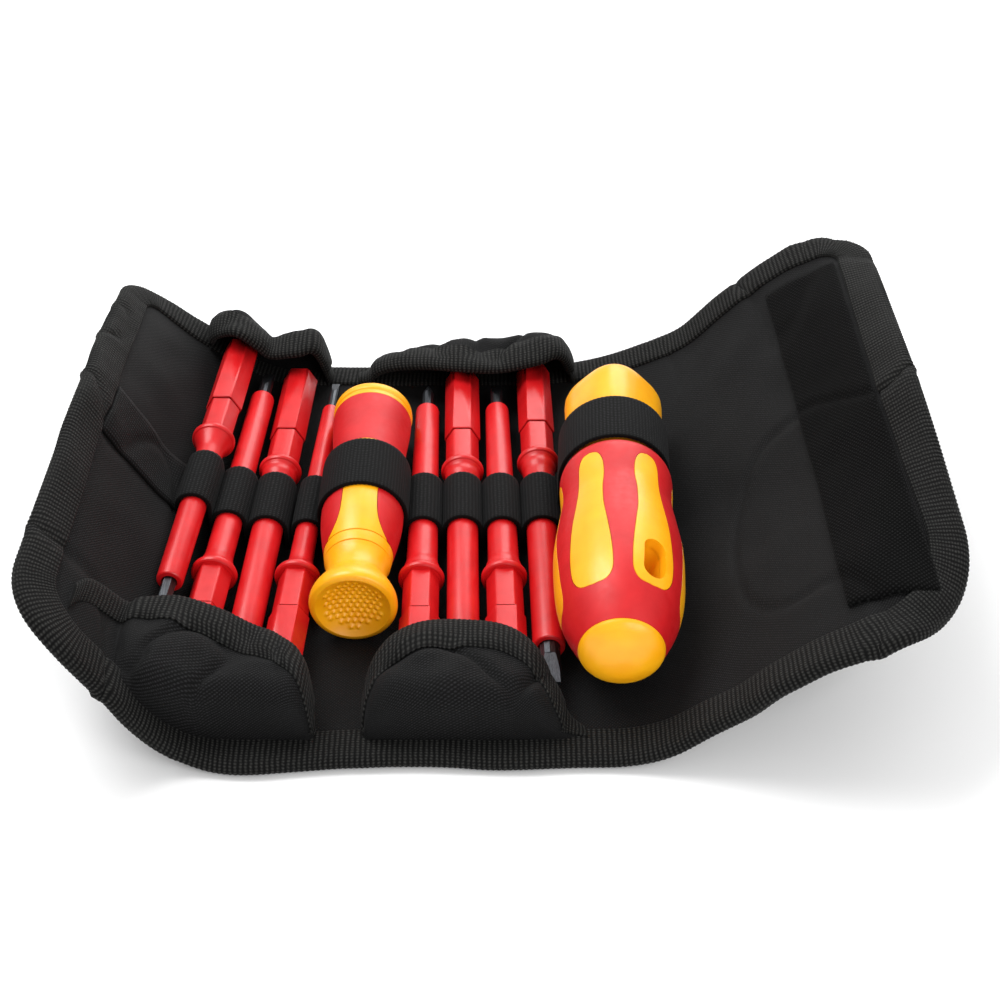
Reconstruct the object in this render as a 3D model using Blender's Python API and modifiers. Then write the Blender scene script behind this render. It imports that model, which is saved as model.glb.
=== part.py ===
"""An electrician's insulated screwdriver kit, open on a table.

Two handles and eight interchangeable insulated blades are held by elastic loops in a padded fold-up pouch.
The pouch lies on z = 0. Tools lie along Y, side by side along X. Sizes are in millimetres until
a mesh is made.
"""

import math

import bmesh
import bpy
from mathutils import Euler, Matrix, Vector

MM = 0.001
GAP = 0.3  # clearance between touching pieces
TURNED_STEPS = 24
FINE_STEPS = 16

# ---- pouch ----
POUCH_DEPTH = 171.0
FABRIC = 3.0  # padded fabric thickness
BINDING_WIDTH = 6.0
BINDING_RISE = 1.6  # how far the binding stands over the fabric
BINDING_THICKNESS = FABRIC + BINDING_RISE
FLOOR_LEFT = -63.5
FLOOR_MARGIN = 14.0  # floor past the big handle's axis
LEFT_SPINE = (24.5, 47.5)  # length, slope in degrees
RIGHT_SPINE = (22.0, 38.0)
FOLD_GAP = 3.5  # bare fold between a spine or panel and its hinge line
PANEL_BINDING_SETBACK = 8.0
LEFT_PANEL = (40.0, 60.0)  # length from the hinge, slope in degrees
RIGHT_PANEL = (60.0, 43.0)
PANEL_CORNER = 20.0
STRIP_WIDTH = 20.0
STRIP_THICKNESS = 1.2
HOOK_STRIP_X = -45.0  # its middle, under the floor
HOOK_STRIP_HALF = 62.0
LOOP_STRIP_INSET = 14.0  # from the panel's sides to the strip's ends
FLAP_THICKNESS = 1.5
FLAP_BEAD = 1.2
FLAP_ROOT = POUCH_DEPTH / 2 + GAP + 0.1  # outside the edge binding, so a hood can open past it
FLAP_HINGE_Z = 5.0

# ---- elastic webbing ----
WEBBING_WIDTH = 21.0
WEBBING_THICKNESS = 1.2
WEBBING_Y = 4.0
LOOP_SLACK = 0.45

# ---- blades: a hex shank, a flange and a tapered shaft, all moulded over a steel rod ----
HEX_LENGTH = 48.0
HEX_FLATS = 9.5
HEX_NECK_STEP = 0.7  # the groove side of the hex is this much narrower
HEX_NECK_LENGTH = 14.5
FLANGE_RADIUS = 6.3
FLANGE_THICKNESS = 2.0
FLANGE_CONE = 5.0
ROD_IN_HEX = 34.0
SOCKET_FLATS = HEX_FLATS + 0.5
SOCKET_DEPTH = 46.0
SLEEVE_RADIUS = SOCKET_FLATS / math.sqrt(3) + 1.83

# name: room beside the tool before it, lift over the floor, room to the pouch's end,
# splay in degrees, hex points up
#       the page, shaft radii at flange and tip, insulated length, bare length, rod radius, tip
BLADES = {
    "blade_1": (0.0, 5.8, 11.0, 2.6, True, 3.8, 3.6, 64.0, 20.0, 2.0, "hex"),
    "blade_2": (0.8, 2.9, 9.0, 2.4, False, 3.9, 3.6, 84.0, 13.0, 2.0, "slotted"),
    "blade_3": (0.2, 0.3, 15.0, 1.6, True, 4.4, 4.3, 80.0, 13.0, 2.8, "cross"),
    "blade_4": (0.6, 0.3, 10.5, 1.9, False, 3.3, 2.6, 80.0, 14.0, 1.4, "slotted"),
    "blade_5": (0.3, 0.3, 10.0, -0.8, False, 4.3, 3.6, 80.0, 13.0, 1.8, "cross"),
    "blade_6": (0.4, 0.3, 15.0, -1.2, True, 4.4, 4.3, 80.0, 13.0, 2.8, "cross"),
    "blade_7": (0.4, 0.3, 10.5, -1.5, False, 4.3, 3.6, 80.0, 13.0, 2.0, "slotted"),
    "blade_8": (0.7, 0.3, 11.0, -1.0, True, 4.4, 4.3, 80.0, 13.0, 2.8, "slotted"),
}
FIRST_BLADE_PAST_FLOOR = 5.9  # the first blade lies on the left spine

# ---- big handle, from butt to collar along its axis ----
BIG_ROOM = 2.6
BIG_SPLAY = 2.0
BIG_LIFT = 1.8  # its belly leans on the blade beside it
BIG_OUTLINE = (  # station y, outer radius of the soft grip
    (-67.0, 10.8),
    (-63.5, 12.6),
    (-58.0, 14.8),
    (-51.0, 16.4),
    (-42.0, 17.0),
    (-32.0, 17.1),
    (-22.0, 16.2),
    (-14.0, 15.3),
    (-7.0, 15.6),
    (-2.0, 15.7),
    (1.0, 14.9),
)
BIG_GRIP_WALL = 2.6
BIG_NECK_RADIUS = SLEEVE_RADIUS + 4.8
BIG_NECK_END = 21.0
COLLAR_END = 41.5
COLLAR_RADIUS = SLEEVE_RADIUS + 6.1
COLLAR_LOBE = 0.7
COLLAR_LOBES = 4
COLLAR_POINTS = 48
BUTT_DOME = 4.5
WINDOW_START = -57.0
WINDOW_END = -4.5
WINDOW_WIDE = 10.4
WINDOW_NARROW = 7.0
WINDOW_COUNT = 6
HOLE_Y = -48.5
HOLE_LENGTH = 13.0
HOLE_WIDTH = 6.4
CLIP_DEPTH = 16.0  # from the sleeve's mouth to its spring clip

# ---- small handle, from swivel cap to far ring along its axis ----
SMALL_ROOM = -0.7  # the blade before it leans away from it
SMALL_WALLS = (  # station y, wall outside the socket sleeve
    (-22.5, 2.0),
    (-18.0, 2.8),
    (-11.0, 3.7),
    (-4.0, 3.9),
    (4.0, 3.2),
    (14.0, 2.9),
    (25.0, 3.3),
    (38.5, 4.1),
)
SMALL_OUTLINE = tuple((y, SLEEVE_RADIUS + wall) for y, wall in SMALL_WALLS)
SMALL_GRIP_WALL = 1.6
SMALL_RING_END = 44.5
STRIP_HALF_WIDTH = 5.0
CAP_SEAM = -26.0
CAP_PROFILE = (  # station y, radius: shoulder, waist, then the flared rim
    (-26.2, 8.9),
    (-28.0, 8.4),
    (-31.0, 8.1),
    (-34.5, 8.6),
    (-38.0, 10.4),
    (-41.0, 11.5),
    (-43.0, 11.7),
    (-44.2, 11.0),
)
DISH_RADIUS = 8.8
DISH_DEPTH = 2.4
PIVOT_RADIUS = 2.0


def widest(outline):
    return max(r for _, r in outline)


def hex_radius(flats):
    """Corner radius of a hexagon this far across its flats."""
    return flats / math.sqrt(3)


def axis_height(radius):
    """Height of the axis of a round tool of this radius that lies on the pouch floor."""
    return FABRIC + GAP + radius


BIG_Z = axis_height(widest(BIG_OUTLINE)) + BIG_LIFT
SMALL_Z = axis_height(max(widest(CAP_PROFILE), widest(SMALL_OUTLINE)))


def row_of_tools():
    """X of every tool where the webbing crosses it, set side by side from the left spine.

    Flanges pass the next blade's shaft, and hex shanks pass the handles.
    """
    places = {}
    x, before, height = FLOOR_LEFT - FIRST_BLADE_PAST_FLOOR, None, 0.0
    for name in ROW:
        if name in BLADES:
            slope = math.radians(LEFT_SPINE[1] if not before else 0)
            z, room = axis_height(FLANGE_RADIUS / math.cos(slope)) + BLADES[name][1], BLADES[name][0]
        else:
            z, room = (SMALL_Z, SMALL_ROOM) if name == "small_handle" else (BIG_Z, BIG_ROOM)
        if before:
            reach = room
            for side in (before, name):
                reach += HANDLE_REACH.get(side, 0.0)
            if before in BLADES and name in BLADES:
                reach += FLANGE_RADIUS + max(BLADES[before][5], BLADES[name][5])
            elif name == "big_handle":
                reach += BLADES[before][5]
            else:
                reach += hex_radius(HEX_FLATS)
            x += math.sqrt(reach * reach - (z - height) ** 2)
        places[name] = (x, z)
        before, height = name, z
    return places


ROW = list(BLADES)[:4] + ["small_handle"] + list(BLADES)[4:] + ["big_handle"]
HANDLE_REACH = {"small_handle": widest(CAP_PROFILE), "big_handle": widest(BIG_OUTLINE)}
PLACES = row_of_tools()
SMALL_X, BIG_X = PLACES["small_handle"][0], PLACES["big_handle"][0]
FLOOR_RIGHT = BIG_X + FLOOR_MARGIN


# ------------------------------------------------------------------ helpers
def clear_scene():
    for obj in list(bpy.data.objects):
        bpy.data.objects.remove(obj, do_unlink=True)


def collection(name):
    found = bpy.data.collections.new(name)
    bpy.context.scene.collection.children.link(found)
    return found


def material(name, colour, roughness, metallic=0.0):
    made = bpy.data.materials.new(name)
    made.use_nodes = True
    shader = made.node_tree.nodes["Principled BSDF"]
    shader.inputs["Base Color"].default_value = (*colour, 1.0)
    shader.inputs["Roughness"].default_value = roughness
    shader.inputs["Metallic"].default_value = metallic
    return made


def put(name, mesh, group, parent=None, finish=None):
    """Links a mesh as an object under an empty."""
    obj = bpy.data.objects.new(name, mesh)
    group.objects.link(obj)
    obj.parent = parent
    if finish:
        mesh.materials.append(finish)
    return obj


def mesh_of(bm, name):
    mesh = bpy.data.meshes.new(name)
    bm.to_mesh(mesh)
    bm.free()
    return mesh


def frame_at(name, location, splay=0.0, turn=0.0):
    """An empty whose Z axis lies along world Y, leaning towards +X by splay; turn spins it about world Z."""
    empty = bpy.data.objects.new(name, None)
    PARTS.objects.link(empty)
    empty.location = Vector(location) * MM
    empty.rotation_euler = Euler((math.radians(-90), 0, math.radians(turn - splay)))
    return empty


def turned(name, profile, group, parent, finish=None, steps=TURNED_STEPS, loop=False):
    """Spins (z, radius) points about the local Z axis. The points run down the outer side."""
    bm = bmesh.new()
    points = [bm.verts.new((r * MM, 0, z * MM)) for z, r in profile]
    for a, b in zip(points, points[1:]):
        bm.edges.new((a, b))
    if loop:
        bm.edges.new((points[-1], points[0]))
    obj = put(name, mesh_of(bm, name), group, parent, finish)
    screw = obj.modifiers.new("Turn", "SCREW")
    screw.steps = screw.render_steps = steps
    screw.use_merge_vertices = True
    screw.merge_threshold = 0.00001
    return obj


def extruded(name, outline, low, high, group, parent, finish=None):
    """A flat outline of (x, y) points in the local XY plane, filled and extruded from z low to z high."""
    curve = bpy.data.curves.new(name, "CURVE")
    curve.dimensions = "2D"
    curve.fill_mode = "BOTH"
    curve.extrude = (high - low) / 2 * MM
    spline = curve.splines.new("POLY")
    spline.points.add(len(outline) - 1)
    for point, (x, y) in zip(spline.points, outline):
        point.co = (x * MM, y * MM, 0, 1)
    spline.use_cyclic_u = True
    obj = bpy.data.objects.new(name, curve)
    group.objects.link(obj)
    return as_mesh(obj, group, parent, finish, Matrix.Translation((0, 0, (high + low) / 2 * MM)))


def as_mesh(obj, group, parent, finish, shift=None):
    """Replaces an object by the mesh it evaluates to, with its loose caps welded."""
    bpy.context.view_layer.update()
    mesh = bpy.data.meshes.new_from_object(obj.evaluated_get(bpy.context.evaluated_depsgraph_get()))
    if shift:
        mesh.transform(shift)
    bm = bmesh.new()
    bm.from_mesh(mesh)
    bmesh.ops.remove_doubles(bm, verts=bm.verts, dist=0.000001)
    bmesh.ops.recalc_face_normals(bm, faces=bm.faces)
    name, old = obj.name, obj.data
    bm.to_mesh(mesh)
    bm.free()
    bpy.data.objects.remove(obj, do_unlink=True)
    if isinstance(old, bpy.types.Curve):
        bpy.data.curves.remove(old)
    mesh.materials.clear()
    return put(name, mesh, group, parent, finish)


def boolean(obj, other, operation):
    """Cuts, joins or intersects, with the other object kept as a hidden helper."""
    if isinstance(other, bpy.types.Object):
        other.hide_render = True
        other.display_type = "WIRE"
    modifier = obj.modifiers.new(operation.title(), "BOOLEAN")
    modifier.operation = operation
    modifier.object = other
    return obj


def smooth(obj):
    if obj.type == "MESH":
        obj.data.shade_smooth()
        obj.data.set_sharp_from_angle(angle=math.radians(35))


def box(name, low, high, group, parent):
    bm = bmesh.new()
    bmesh.ops.create_cube(bm, size=1)
    low, high = Vector(low) * MM, Vector(high) * MM
    bmesh.ops.scale(bm, vec=high - low, verts=bm.verts)
    bmesh.ops.translate(bm, vec=(low + high) / 2, verts=bm.verts)
    return put(name, mesh_of(bm, name), group, parent)


# ------------------------------------------------------------------ blades
def insulation(name, spec, parent):
    """Red moulding: hex shank at +Z, flange, cone and tapered shaft at -Z, bored for the rod."""
    r_root, r_tip, length, rod = spec[5], spec[6], spec[7], spec[9]
    cone_end = -FLANGE_THICKNESS - FLANGE_CONE
    shaft = turned(
        name + "_insulation",
        [
            (1.0, 0),
            (1.0, HEX_FLATS / 2 - HEX_NECK_STEP),
            (0.0, HEX_FLATS / 2 - HEX_NECK_STEP),
            (0.0, FLANGE_RADIUS - 0.5),
            (-0.5, FLANGE_RADIUS),
            (-FLANGE_THICKNESS + 0.4, FLANGE_RADIUS),
            (-FLANGE_THICKNESS, FLANGE_RADIUS - 0.5),
            (cone_end, r_root + 0.2),
            (cone_end - 1.5, r_root),
            (-length + 0.8, r_tip),
            (-length, r_tip - 0.7),
            (-length, 0),
        ],
        PARTS,
        parent,
        RED,
        FINE_STEPS,
    )
    neck, grip = hex_radius(HEX_FLATS - HEX_NECK_STEP), hex_radius(HEX_FLATS)
    shank = turned(
        name + "_shank",
        [
            (HEX_LENGTH, 0),
            (HEX_LENGTH, grip - 1.0),
            (HEX_LENGTH - 1.0, grip),
            (HEX_NECK_LENGTH + 0.4, grip),
            (HEX_NECK_LENGTH, neck),
            (-0.9, neck),
            (-0.9, 0),
        ],
        HELPERS,
        parent,
        steps=6,
    )
    shank.rotation_euler.z = math.radians(30)  # a flat faces up
    boolean(shaft, shank, "UNION")
    bore = turned(
        name + "_bore",
        [(ROD_IN_HEX + GAP, 0), (ROD_IN_HEX + GAP, rod + GAP), (-length - 5, rod + GAP), (-length - 5, 0)],
        HELPERS,
        parent,
        steps=12,
    )
    return boolean(shaft, bore, "DIFFERENCE")


def steel_rod(name, spec, parent):
    """Steel rod, with its bare working tip at -Z."""
    length, bare, rod, tip = spec[7], spec[8], spec[9], spec[10]
    end = -length - bare
    point = 0.25 if tip == "cross" else 0.9 if tip == "slotted" else 0.85
    shoulder = end + (2.2 * rod if tip != "hex" else 0.4)
    obj = turned(
        name + "_rod",
        [(ROD_IN_HEX, 0), (ROD_IN_HEX, rod), (shoulder, rod), (end, rod * point), (end, 0)],
        PARTS,
        parent,
        STEEL,
        6 if tip == "hex" else 12,
    )
    if tip == "slotted":
        for side in (-1, 1):
            flat = box(f"{name}_flat_{side}", (-9, 0, -9), (9, 9, 9), HELPERS, parent)
            flat.rotation_euler.x = math.radians(-12 if side > 0 else 192)
            flat.location = Vector((0, side * rod * 0.22, end)) * MM
            boolean(obj, flat, "DIFFERENCE")
    if tip == "cross":
        reach, lean, start = 2.6 * rod, math.radians(13), 0.68 * rod
        cutter = bmesh.new()
        for quarter in range(4):
            corner = bmesh.ops.create_cube(cutter, size=1)["verts"]
            bmesh.ops.scale(cutter, vec=Vector((6, 6, reach + 0.6)) * MM, verts=corner)
            shift = Vector((3 + start, 3 + start, -reach / 2 - 0.3)) * MM
            bmesh.ops.translate(cutter, vec=shift, verts=corner)
            bmesh.ops.rotate(cutter, matrix=Matrix.Rotation(-lean, 3, Vector((1, -1, 0))), verts=corner)
            bmesh.ops.rotate(cutter, matrix=Matrix.Rotation(math.radians(90 * quarter), 3, "Z"), verts=corner)
        wings = put(name + "_flutes", mesh_of(cutter, name + "_flutes"), HELPERS, parent)
        wings.location.z = (end + reach) * MM
        boolean(obj, wings, "DIFFERENCE")
    return obj


def flange_place(name):
    """Y of a blade's flange: its hex shank ends a little inside the pouch's end edge."""
    end_room, hex_up = BLADES[name][2], BLADES[name][4]
    inwards = POUCH_DEPTH / 2 - HEX_LENGTH - end_room
    return inwards if hex_up else -inwards


def blade(name):
    x, z = PLACES[name]
    splay, hex_up = BLADES[name][3:5]
    flange_y = flange_place(name)
    drift = math.tan(math.radians(splay)) * (flange_y - WEBBING_Y)
    parent = frame_at(name, (x + drift, flange_y, z), splay, 0 if hex_up else 180)
    insulation(name, BLADES[name], parent)
    steel_rod(name, BLADES[name], parent)


# ------------------------------------------------------------------ handles
def inset(outline, wall):
    return [(z, r - wall) for z, r in outline]


def window_outline(shrink):
    """A long rounded pad, wide towards the butt, as (across, along) points about the handle's axis."""
    low, high = WINDOW_START + shrink, WINDOW_END - shrink
    wide, narrow = WINDOW_WIDE / 2 - shrink, WINDOW_NARROW / 2 - shrink
    wide_y, narrow_y = low + wide, high - narrow
    side = []
    for step in range(5):
        turn = math.radians(-90 + 90 * step / 4)
        side.append((wide * math.cos(turn), wide_y + wide * math.sin(turn)))
    for share in (0.25, 0.5, 0.75):
        blend = share * share * (3 - 2 * share)
        side.append((wide + (narrow - wide) * blend, wide_y + 6 + (narrow_y - wide_y - 16) * share))
    for step in range(5):
        turn = math.radians(90 * step / 4)
        side.append((narrow * math.cos(turn), narrow_y + narrow * math.sin(turn)))
    return side + [(-x, y) for x, y in reversed(side[1:-1])]


def window_blocks(name, shrink, parent):
    """One block per window, standing radially from inside the core to outside the grip."""
    blocks = bmesh.new()
    for index in range(WINDOW_COUNT):
        outline = window_outline(shrink)
        angle = math.radians(360 / WINDOW_COUNT * (index + 0.5))
        ring = [blocks.verts.new((x * MM, 9.5 * MM, y * MM)) for x, y in outline]
        face = blocks.faces.new(ring)
        grown = bmesh.ops.extrude_face_region(blocks, geom=[face])["geom"]
        top = [v for v in grown if isinstance(v, bmesh.types.BMVert)]
        bmesh.ops.translate(blocks, vec=(0, 12.5 * MM, 0), verts=top)
        bmesh.ops.rotate(blocks, matrix=Matrix.Rotation(angle, 3, "Z"), verts=ring + top)
    bmesh.ops.recalc_face_normals(blocks, faces=blocks.faces)
    return put(name, mesh_of(blocks, name), HELPERS, parent)


def collar_outline():
    for step in range(COLLAR_POINTS):
        angle = 2 * math.pi * step / COLLAR_POINTS
        radius = COLLAR_RADIUS + COLLAR_LOBE * math.cos(COLLAR_LOBES * angle)
        yield radius * math.cos(angle), radius * math.sin(angle)


def hang_hole(name, parent):
    """A slot-shaped bar through the handle, along the axis of one window."""
    half, radius = HOLE_LENGTH / 2 - HOLE_WIDTH / 2, HOLE_WIDTH / 2
    outline = []
    for centre, start in ((half, 0), (-half, 180)):
        for step in range(7):
            turn = math.radians(start + 30 * step)
            outline.append((radius * math.cos(turn), centre + radius * math.sin(turn)))
    bar = extruded(name, outline, -25, 25, HELPERS, parent)
    lay_down = Matrix.Rotation(math.radians(90), 4, "X")
    bar.data.transform(Matrix.Rotation(math.radians(180 / WINDOW_COUNT), 4, "Z") @ lay_down)
    bar.location.z = HOLE_Y * MM
    return bar


def big_handle():
    parent = frame_at("big_handle", (BIG_X, 0, BIG_Z), BIG_SPLAY)
    butt, front = BIG_OUTLINE[0][0], BIG_OUTLINE[-1][0]
    outer, inner = list(reversed(BIG_OUTLINE)), list(reversed(inset(BIG_OUTLINE, BIG_GRIP_WALL)))
    grip = turned(
        "big_grip",
        outer + [(z, r + GAP) for z, r in reversed(inner)],
        PARTS,
        parent,
        RED,
        loop=True,
    )
    boolean(grip, window_blocks("window_cuts", 0.0, parent), "DIFFERENCE")
    smooth_nose = [
        (front + GAP, inner[0][1]),
        (front + GAP, BIG_NECK_RADIUS + 1.2),
        (front + 2.0, BIG_NECK_RADIUS),
    ]
    core = turned(
        "big_core",
        [(COLLAR_END - 1.5, 0), (COLLAR_END - 1.5, BIG_NECK_RADIUS), (BIG_NECK_END, BIG_NECK_RADIUS)]
        + list(reversed(smooth_nose))
        + inner[1:-1]
        + [(butt, inner[-1][1]), (butt, 0)],
        PARTS,
        parent,
        YELLOW,
    )
    collar = extruded("collar_block", list(collar_outline()), BIG_NECK_END, COLLAR_END, HELPERS, parent)
    rounding = collar.modifiers.new("Edges", "BEVEL")
    rounding.width, rounding.segments, rounding.limit_method = 1.6 * MM, 2, "ANGLE"
    boolean(core, collar, "UNION")
    pads = turned("window_pads", [(front, 0)] + outer + [(butt, 0)], HELPERS, parent)
    boolean(pads, window_blocks("pad_blocks", GAP, parent), "INTERSECT")
    boolean(core, pads, "UNION")
    bore = turned(
        "sleeve_bore",
        [
            (COLLAR_END + 2, 0),
            (COLLAR_END + 2, SLEEVE_RADIUS + GAP),
            (COLLAR_END - SOCKET_DEPTH - 1, SLEEVE_RADIUS + GAP),
            (COLLAR_END - SOCKET_DEPTH - 1, 0),
        ],
        HELPERS,
        parent,
        steps=FINE_STEPS,
    )
    boolean(core, bore, "DIFFERENCE")
    boolean(core, hang_hole("hang_hole", parent), "DIFFERENCE")
    cap_radius = BIG_OUTLINE[0][1]
    turned(
        "big_butt_cap",
        [
            (butt - GAP, 0),
            (butt - GAP, cap_radius - 0.2),
            (butt - 1.6, cap_radius - 0.7),
            (butt - 3.2, cap_radius * 0.78),
            (butt - 4.2, cap_radius * 0.45),
            (butt - BUTT_DOME, 0),
        ],
        PARTS,
        parent,
        YELLOW,
    )
    socket("big", COLLAR_END - 0.8, COLLAR_END - SOCKET_DEPTH, parent)


def ring(centre, half, inner, outer):
    """Profile of a flat ring, ready to turn."""
    return [(centre + half, inner), (centre + half, outer), (centre - half, outer), (centre - half, inner)]


def socket(prefix, mouth, bottom, parent):
    """Steel hex socket sleeve, with a spring clip let into its bore wall."""
    sleeve = turned(
        prefix + "_socket_sleeve",
        [(mouth, 0), (mouth, SLEEVE_RADIUS), (bottom, SLEEVE_RADIUS), (bottom, 0)],
        PARTS,
        parent,
        STEEL,
        FINE_STEPS,
    )
    hexagon = hex_radius(SOCKET_FLATS)
    hole = turned(
        prefix + "_socket_hex",
        [(mouth + 2, 0), (mouth + 2, hexagon), (bottom + 1.5, hexagon), (bottom + 1.5, 0)],
        HELPERS,
        parent,
        steps=6,
    )
    hole.rotation_euler.z = math.radians(30)
    boolean(sleeve, hole, "DIFFERENCE")
    clip_centre = mouth - CLIP_DEPTH
    groove = turned(
        prefix + "_clip_groove",
        ring(clip_centre, 1.3, SOCKET_FLATS / 2 - 0.5, SLEEVE_RADIUS - 0.7),
        HELPERS,
        parent,
        steps=FINE_STEPS,
        loop=True,
    )
    boolean(sleeve, groove, "DIFFERENCE")
    turned(
        prefix + "_retaining_clip",
        ring(clip_centre, 0.9, SOCKET_FLATS / 2 + 0.7, SLEEVE_RADIUS - 1.1),
        PARTS,
        parent,
        STEEL,
        FINE_STEPS,
        loop=True,
    )


def strip_blocks(name, shrink, parent):
    """Two blocks, above and below, that leave the yellow strips bare and flare at the shoulder."""
    half = STRIP_HALF_WIDTH - shrink
    low, high = SMALL_OUTLINE[0][0] - 2, 17.0 - shrink
    flare = [(half + x, y) for x, y in ((8.0, low), (4.4, -19.5), (1.4, -15.0), (0.0, -10.0), (0.0, high))]
    outline = flare + [(-x, y) for x, y in reversed(flare)]
    blocks = bmesh.new()
    for side in (-1, 1):
        ring = [blocks.verts.new((x * MM, (4.0 + shrink) * side * MM, y * MM)) for x, y in outline]
        grown = bmesh.ops.extrude_face_region(blocks, geom=[blocks.faces.new(ring)])["geom"]
        top = [v for v in grown if isinstance(v, bmesh.types.BMVert)]
        bmesh.ops.translate(blocks, vec=(0, 11 * side * MM, 0), verts=top)
    bmesh.ops.recalc_face_normals(blocks, faces=blocks.faces)
    return put(name, mesh_of(blocks, name), HELPERS, parent)


def small_handle():
    parent = frame_at("small_handle", (SMALL_X, 0, SMALL_Z))
    low, high = SMALL_OUTLINE[0][0], SMALL_OUTLINE[-1][0]
    outer = list(reversed(SMALL_OUTLINE))
    inner = list(reversed(inset(SMALL_OUTLINE, SMALL_GRIP_WALL)))
    grip = turned(
        "small_grip",
        outer + [(z, r + GAP) for z, r in reversed(inner)],
        PARTS,
        parent,
        RED,
        loop=True,
    )
    boolean(grip, strip_blocks("strip_cuts", 0.0, parent), "DIFFERENCE")
    ring_radius = outer[0][1]
    core = turned(
        "small_core",
        [
            (SMALL_RING_END, 0),
            (SMALL_RING_END, ring_radius - 1.0),
            (SMALL_RING_END - 1.0, ring_radius),
            (high + GAP, ring_radius),
        ]
        + [(high + GAP, inner[0][1])]
        + inner[1:]
        + [(low - GAP, inner[-1][1]), (low - GAP, 9.5), (CAP_SEAM, 8.9), (CAP_SEAM, 0)],
        PARTS,
        parent,
        YELLOW,
    )
    pads = turned("strip_pads", [(high - 1, 0)] + outer[1:] + [(low, 0)], HELPERS, parent)
    boolean(pads, strip_blocks("pad_strips", GAP, parent), "INTERSECT")
    boolean(core, pads, "UNION")
    bore = turned(
        "small_bore",
        [
            (SMALL_RING_END + 2, 0),
            (SMALL_RING_END + 2, SLEEVE_RADIUS + GAP),
            (SMALL_RING_END - SOCKET_DEPTH - 1, SLEEVE_RADIUS + GAP),
            (SMALL_RING_END - SOCKET_DEPTH - 1, 0),
        ],
        HELPERS,
        parent,
        steps=FINE_STEPS,
    )
    boolean(core, bore, "DIFFERENCE")
    pin_hole = turned(
        "pivot_hole",
        [(-9.0, 0), (-9.0, PIVOT_RADIUS + GAP), (CAP_SEAM - 2, PIVOT_RADIUS + GAP), (CAP_SEAM - 2, 0)],
        HELPERS,
        parent,
        steps=FINE_STEPS,
    )
    boolean(core, pin_hole, "DIFFERENCE")
    socket("small", SMALL_RING_END - 0.8, SMALL_RING_END - SOCKET_DEPTH, parent)
    face = CAP_PROFILE[-1][0]
    dish = []
    for step in range(4):
        share = step / 4
        dish.append((face + DISH_DEPTH * share * (2 - share), DISH_RADIUS * math.sqrt(1 - share * share)))
    turned(
        "swivel_cap",
        [(-37.0 + GAP, 0), (-37.0 + GAP, PIVOT_RADIUS + GAP), (CAP_PROFILE[0][0] - GAP, PIVOT_RADIUS + GAP)]
        + [(z if i else z - GAP, r) for i, (z, r) in enumerate(CAP_PROFILE)]
        + [(face, DISH_RADIUS + 0.4)]
        + dish
        + [(face + DISH_DEPTH, 0)],
        PARTS,
        parent,
        YELLOW,
    )
    turned(
        "cap_pivot",
        [(-9.6, 0), (-9.6, PIVOT_RADIUS), (-36.0, PIVOT_RADIUS), (-36.0, 0)],
        PARTS,
        parent,
        STEEL,
        12,
    )


# ------------------------------------------------------------------ pouch
def spine_end(start_x, spine, side):
    length, slope = spine[0], math.radians(spine[1])
    return start_x + side * length * math.cos(slope), length * math.sin(slope)


def floor_line(setback):
    """Underside of the pouch across X: left spine, flat floor, right spine. setback shortens the spines."""
    points = []
    for start, spine, side in ((FLOOR_LEFT, LEFT_SPINE, -1), (FLOOR_RIGHT, RIGHT_SPINE, 1)):
        short = (spine[0] - setback, spine[1])
        bend = (start + side * 3.0, 1.2)
        ends = [spine_end(start + side * 1.0, short, side), bend, (start - side * 1.0, 0.0)]
        points += ends if side < 0 else list(reversed(ends))
    return points


def floor_top(x):
    """Height of the pouch's inner surface at x."""
    for start, spine, side in ((FLOOR_LEFT, LEFT_SPINE, -1), (FLOOR_RIGHT, RIGHT_SPINE, 1)):
        past = (x - start) * side
        if past > 0:
            slope = math.radians(spine[1])
            return past * math.tan(slope) + FABRIC / math.cos(slope)
    return FABRIC


def draped_strip(name, setback, low_y, high_y, thickness, finish):
    """A strip across the pouch, on the line of its underside, from y low to y high."""
    bm = bmesh.new()
    rows = [[bm.verts.new((x * MM, y * MM, z * MM)) for y in (low_y, high_y)] for x, z in floor_line(setback)]
    for a, b in zip(rows, rows[1:]):
        bm.faces.new((a[0], b[0], b[1], a[1]))
    bmesh.ops.recalc_face_normals(bm, faces=bm.faces)
    if sum(f.normal.z for f in bm.faces) < 0:
        bmesh.ops.reverse_faces(bm, faces=bm.faces)
    obj = put(name, mesh_of(bm, name), PARTS, None, finish)
    shell = obj.modifiers.new("Thickness", "SOLIDIFY")
    shell.thickness, shell.offset = thickness * MM, 1.0
    shell.use_even_offset = True
    return obj


def join(name, objects, finish):
    """One object of several separate evaluated solids."""
    bpy.context.view_layer.update()
    graph = bpy.context.evaluated_depsgraph_get()
    bm = bmesh.new()
    for obj in objects:
        mesh = bpy.data.meshes.new_from_object(obj.evaluated_get(graph))
        mesh.transform(obj.matrix_world)
        bm.from_mesh(mesh)
        bpy.data.meshes.remove(mesh)
    for obj in objects:
        bpy.data.objects.remove(obj, do_unlink=True)
    return put(name, mesh_of(bm, name), PARTS, None, finish)


def hinge_point(start, spine, side):
    """Hinge line at the top of a spine, in the middle of the fabric."""
    x, z = spine_end(start + side * 1.0, spine, side)
    slope = math.radians(spine[1])
    return x - side * FABRIC / 2 * math.sin(slope), z + FABRIC / 2 * math.cos(slope)


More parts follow.
